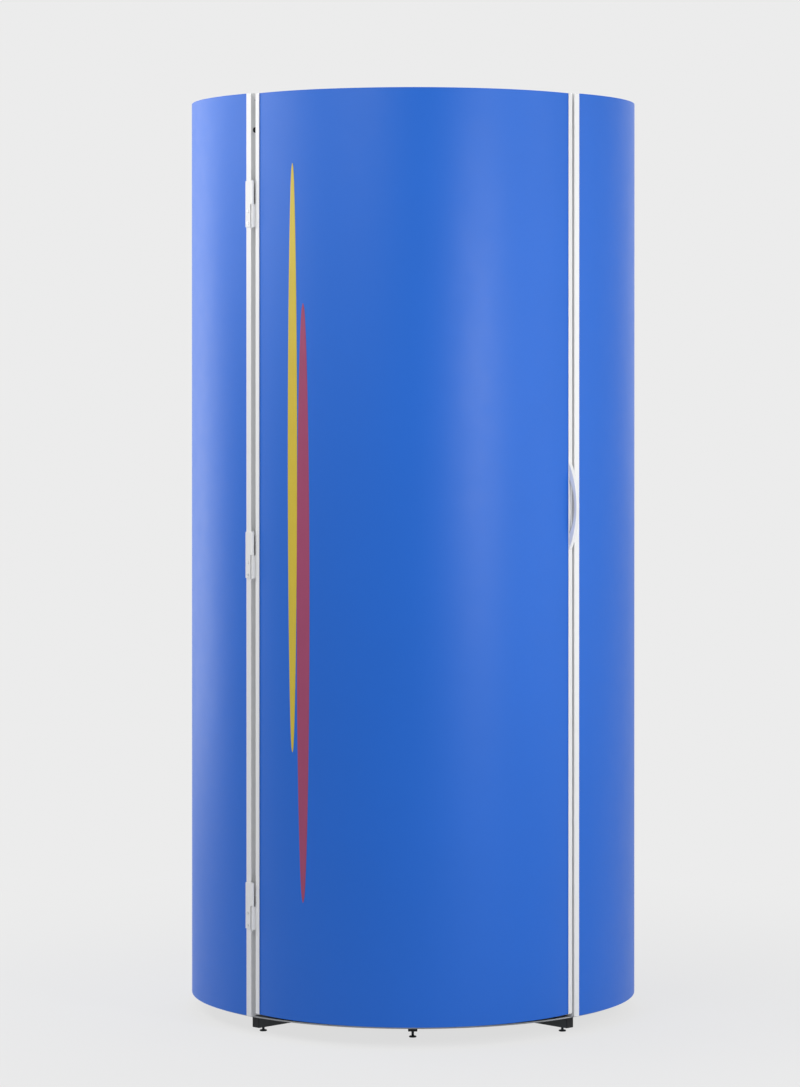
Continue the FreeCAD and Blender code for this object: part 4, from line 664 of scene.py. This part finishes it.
def hole_plug():
    """Plug in the left post's side, near the top of the hinge groove, black as painted shade for the dark
    hole there.
    """
    turn = -POST_ANGLE
    inward = Vector((-math.sin(turn), math.cos(turn), 0.0))
    out = Vector((math.cos(turn), math.sin(turn), 0.0))
    seat = Vector((0.0, 0.0, PLUG_HEIGHT)) - inward * (SIDE_RADIUS - PLUG_DEPTH)
    rings = []
    for lift, radius in ((-PLUG_SUNK, PLUG_RADIUS), (PLUG_RIM, PLUG_RADIUS),
                         (PLUG_FRONT, PLUG_RADIUS - PLUG_CHAMFER)):
        rings.append([seat + out * lift + inward * (radius * math.cos(angle))
                      + Vector((0.0, 0.0, radius * math.sin(angle))) for angle in turns(PLUG_COLUMNS)])
    # Black plastic: painted shade, standing for the dark hole in the post
    finished(stacked(rings), "hole_plug", "black_plastic", "cabinet")


def rounded(node, width, segments):
    """A copy of a CAD node with its edges rounded, which stands for it."""
    mesh = NODES[node].data.copy()
    if mesh.has_custom_normals:
        mesh.attributes.remove(mesh.attributes["custom_normal"])
    shell = bmesh.new()
    shell.from_mesh(mesh)
    bmesh.ops.remove_doubles(shell, verts=shell.verts, dist=SAME_PLACE)
    bmesh.ops.dissolve_limit(shell, angle_limit=FLAT_ANGLE, verts=shell.verts, edges=shell.edges)
    shell.to_mesh(mesh)
    shell.free()
    made = piece(node + "_rounded", mesh, SLOTS[node], BODIES[node])
    bevel = made.modifiers.new("edges", "BEVEL")
    bevel.width = width
    bevel.segments = segments
    bevel.limit_method = "ANGLE"
    bevel.angle_limit = SMOOTH_ANGLE
    bevel.harden_normals = True
    stands_for(made, node)


# ---------------------------------------------------------------- stage
def grey(level):
    return (level, level, level, 1.0)


def backdrop_share(tree):
    """1 for rays that see the scene as the camera, a mirror or a glass does, 0 for those that light it."""
    path = tree.nodes.new("ShaderNodeLightPath")
    total = path.outputs["Is Camera Ray"]
    for name in ("Is Glossy Ray", "Is Transmission Ray"):
        added = tree.nodes.new("ShaderNodeMath")
        added.operation = "MAXIMUM"
        tree.links.new(total, added.inputs[0])
        tree.links.new(path.outputs[name], added.inputs[1])
        total = added.outputs["Value"]
    return total


def blended(tree, share, first, second):
    """A mix of two shaders: all the first at share 0, all the second at 1."""
    made = tree.nodes.new("ShaderNodeMixShader")
    tree.links.new(share, made.inputs["Fac"])
    tree.links.new(first, made.inputs[1])
    tree.links.new(second, made.inputs[2])
    return made.outputs["Shader"]


def glow(tree, kind, level, strength=1.0):
    """An even light of this grey."""
    made = tree.nodes.new(kind)
    made.inputs["Color"].default_value = grey(level)
    made.inputs["Strength"].default_value = strength
    return made.outputs[0]


def world():
    """Pale grey to look at, and a dimmer even light on the booth."""
    made = bpy.data.worlds.new("studio")
    made.use_nodes = True
    tree = made.node_tree
    tree.nodes.clear()
    lit = glow(tree, "ShaderNodeBackground", 1.0, AMBIENT)
    seen = glow(tree, "ShaderNodeBackground", BACKGROUND)
    out = tree.nodes.new("ShaderNodeOutputWorld")
    tree.links.new(blended(tree, backdrop_share(tree), lit, seen), out.inputs["Surface"])
    bpy.context.scene.world = made


def floor_material():
    """Near the booth the camera sees a share of the lit floor, with its shadow, and further out the grey."""
    material = bpy.data.materials.new("studio_floor")
    material.use_nodes = True
    tree = material.node_tree
    tree.nodes.clear()
    diffuse = tree.nodes.new("ShaderNodeBsdfDiffuse")
    diffuse.inputs["Color"].default_value = grey(FLOOR_COLOUR)
    place = tree.nodes.new("ShaderNodeTexCoord")
    length = tree.nodes.new("ShaderNodeVectorMath")
    length.operation = "LENGTH"
    tree.links.new(place.outputs["Object"], length.inputs[0])
    fade = tree.nodes.new("ShaderNodeMapRange")
    fade.interpolation_type = "SMOOTHSTEP"
    for socket, value in (("From Min", SHADOW_REACH), ("From Max", SHADOW_END),
                          ("To Min", FLOOR_SHADOW), ("To Max", 0.0)):
        fade.inputs[socket].default_value = value
    tree.links.new(length.outputs["Value"], fade.inputs["Value"])
    plain = glow(tree, "ShaderNodeEmission", BACKGROUND)
    seen = blended(tree, fade.outputs["Result"], plain, diffuse.outputs["BSDF"])
    out = tree.nodes.new("ShaderNodeOutputMaterial")
    tree.links.new(blended(tree, backdrop_share(tree), diffuse.outputs["BSDF"], seen), out.inputs["Surface"])
    return material


def floor():
    """A pale disc that keeps the booth's shadow."""
    mesh = bpy.data.meshes.new("studio_floor")
    disc = bmesh.new()
    bmesh.ops.create_circle(disc, cap_ends=True, segments=FLOOR_SEGMENTS, radius=FLOOR_RADIUS)
    disc.to_mesh(mesh)
    disc.free()
    made = bpy.data.objects.new("studio_floor", mesh)
    bpy.context.scene.collection.objects.link(made)
    made.data.materials.append(floor_material())


def lamp(name, azimuth, reach, height, aim_height, power, size):
    """Soft box aimed at the booth's axis; azimuth in degrees from the front, to the right."""
    light = bpy.data.lights.new(name, "AREA")
    light.shape = "RECTANGLE"
    light.size, light.size_y = size
    light.energy = power
    made = bpy.data.objects.new(name, light)
    bpy.context.scene.collection.objects.link(made)
    turn = math.radians(azimuth)
    made.location = (reach * math.sin(turn), -reach * math.cos(turn), height)
    aim = Vector((0.0, 0.0, aim_height)) - made.location
    made.rotation_euler = aim.to_track_quat("-Z", "Y").to_euler()
    made.visible_camera = False


def camera():
    """The photograph's view."""
    lens = bpy.data.cameras.new("view")
    lens.sensor_width = CAMERA_SENSOR
    lens.lens = CAMERA_LENS
    lens.shift_y = CAMERA_SHIFT
    made = bpy.data.objects.new("view", lens)
    bpy.context.scene.collection.objects.link(made)
    made.location = CAMERA_PLACE
    made.rotation_euler = (math.pi / 2.0 + CAMERA_TILT, 0.0, CAMERA_TURN)
    bpy.context.scene.camera = made


camera()
world()
floor()
for placed in LAMPS:
    lamp(*placed)

finish_nodes()
for film in STRIPES:
    stripe(*film)
timer_scale()
timer_pointer()
hole_plug()
for name, width, segments in EDGES:
    rounded(name, width, segments)
for node in sorted(NODES):
    if node.startswith("levelling_foot_"):
        levelling_foot(node)

bpy.context.scene.view_settings.view_transform = "Standard"
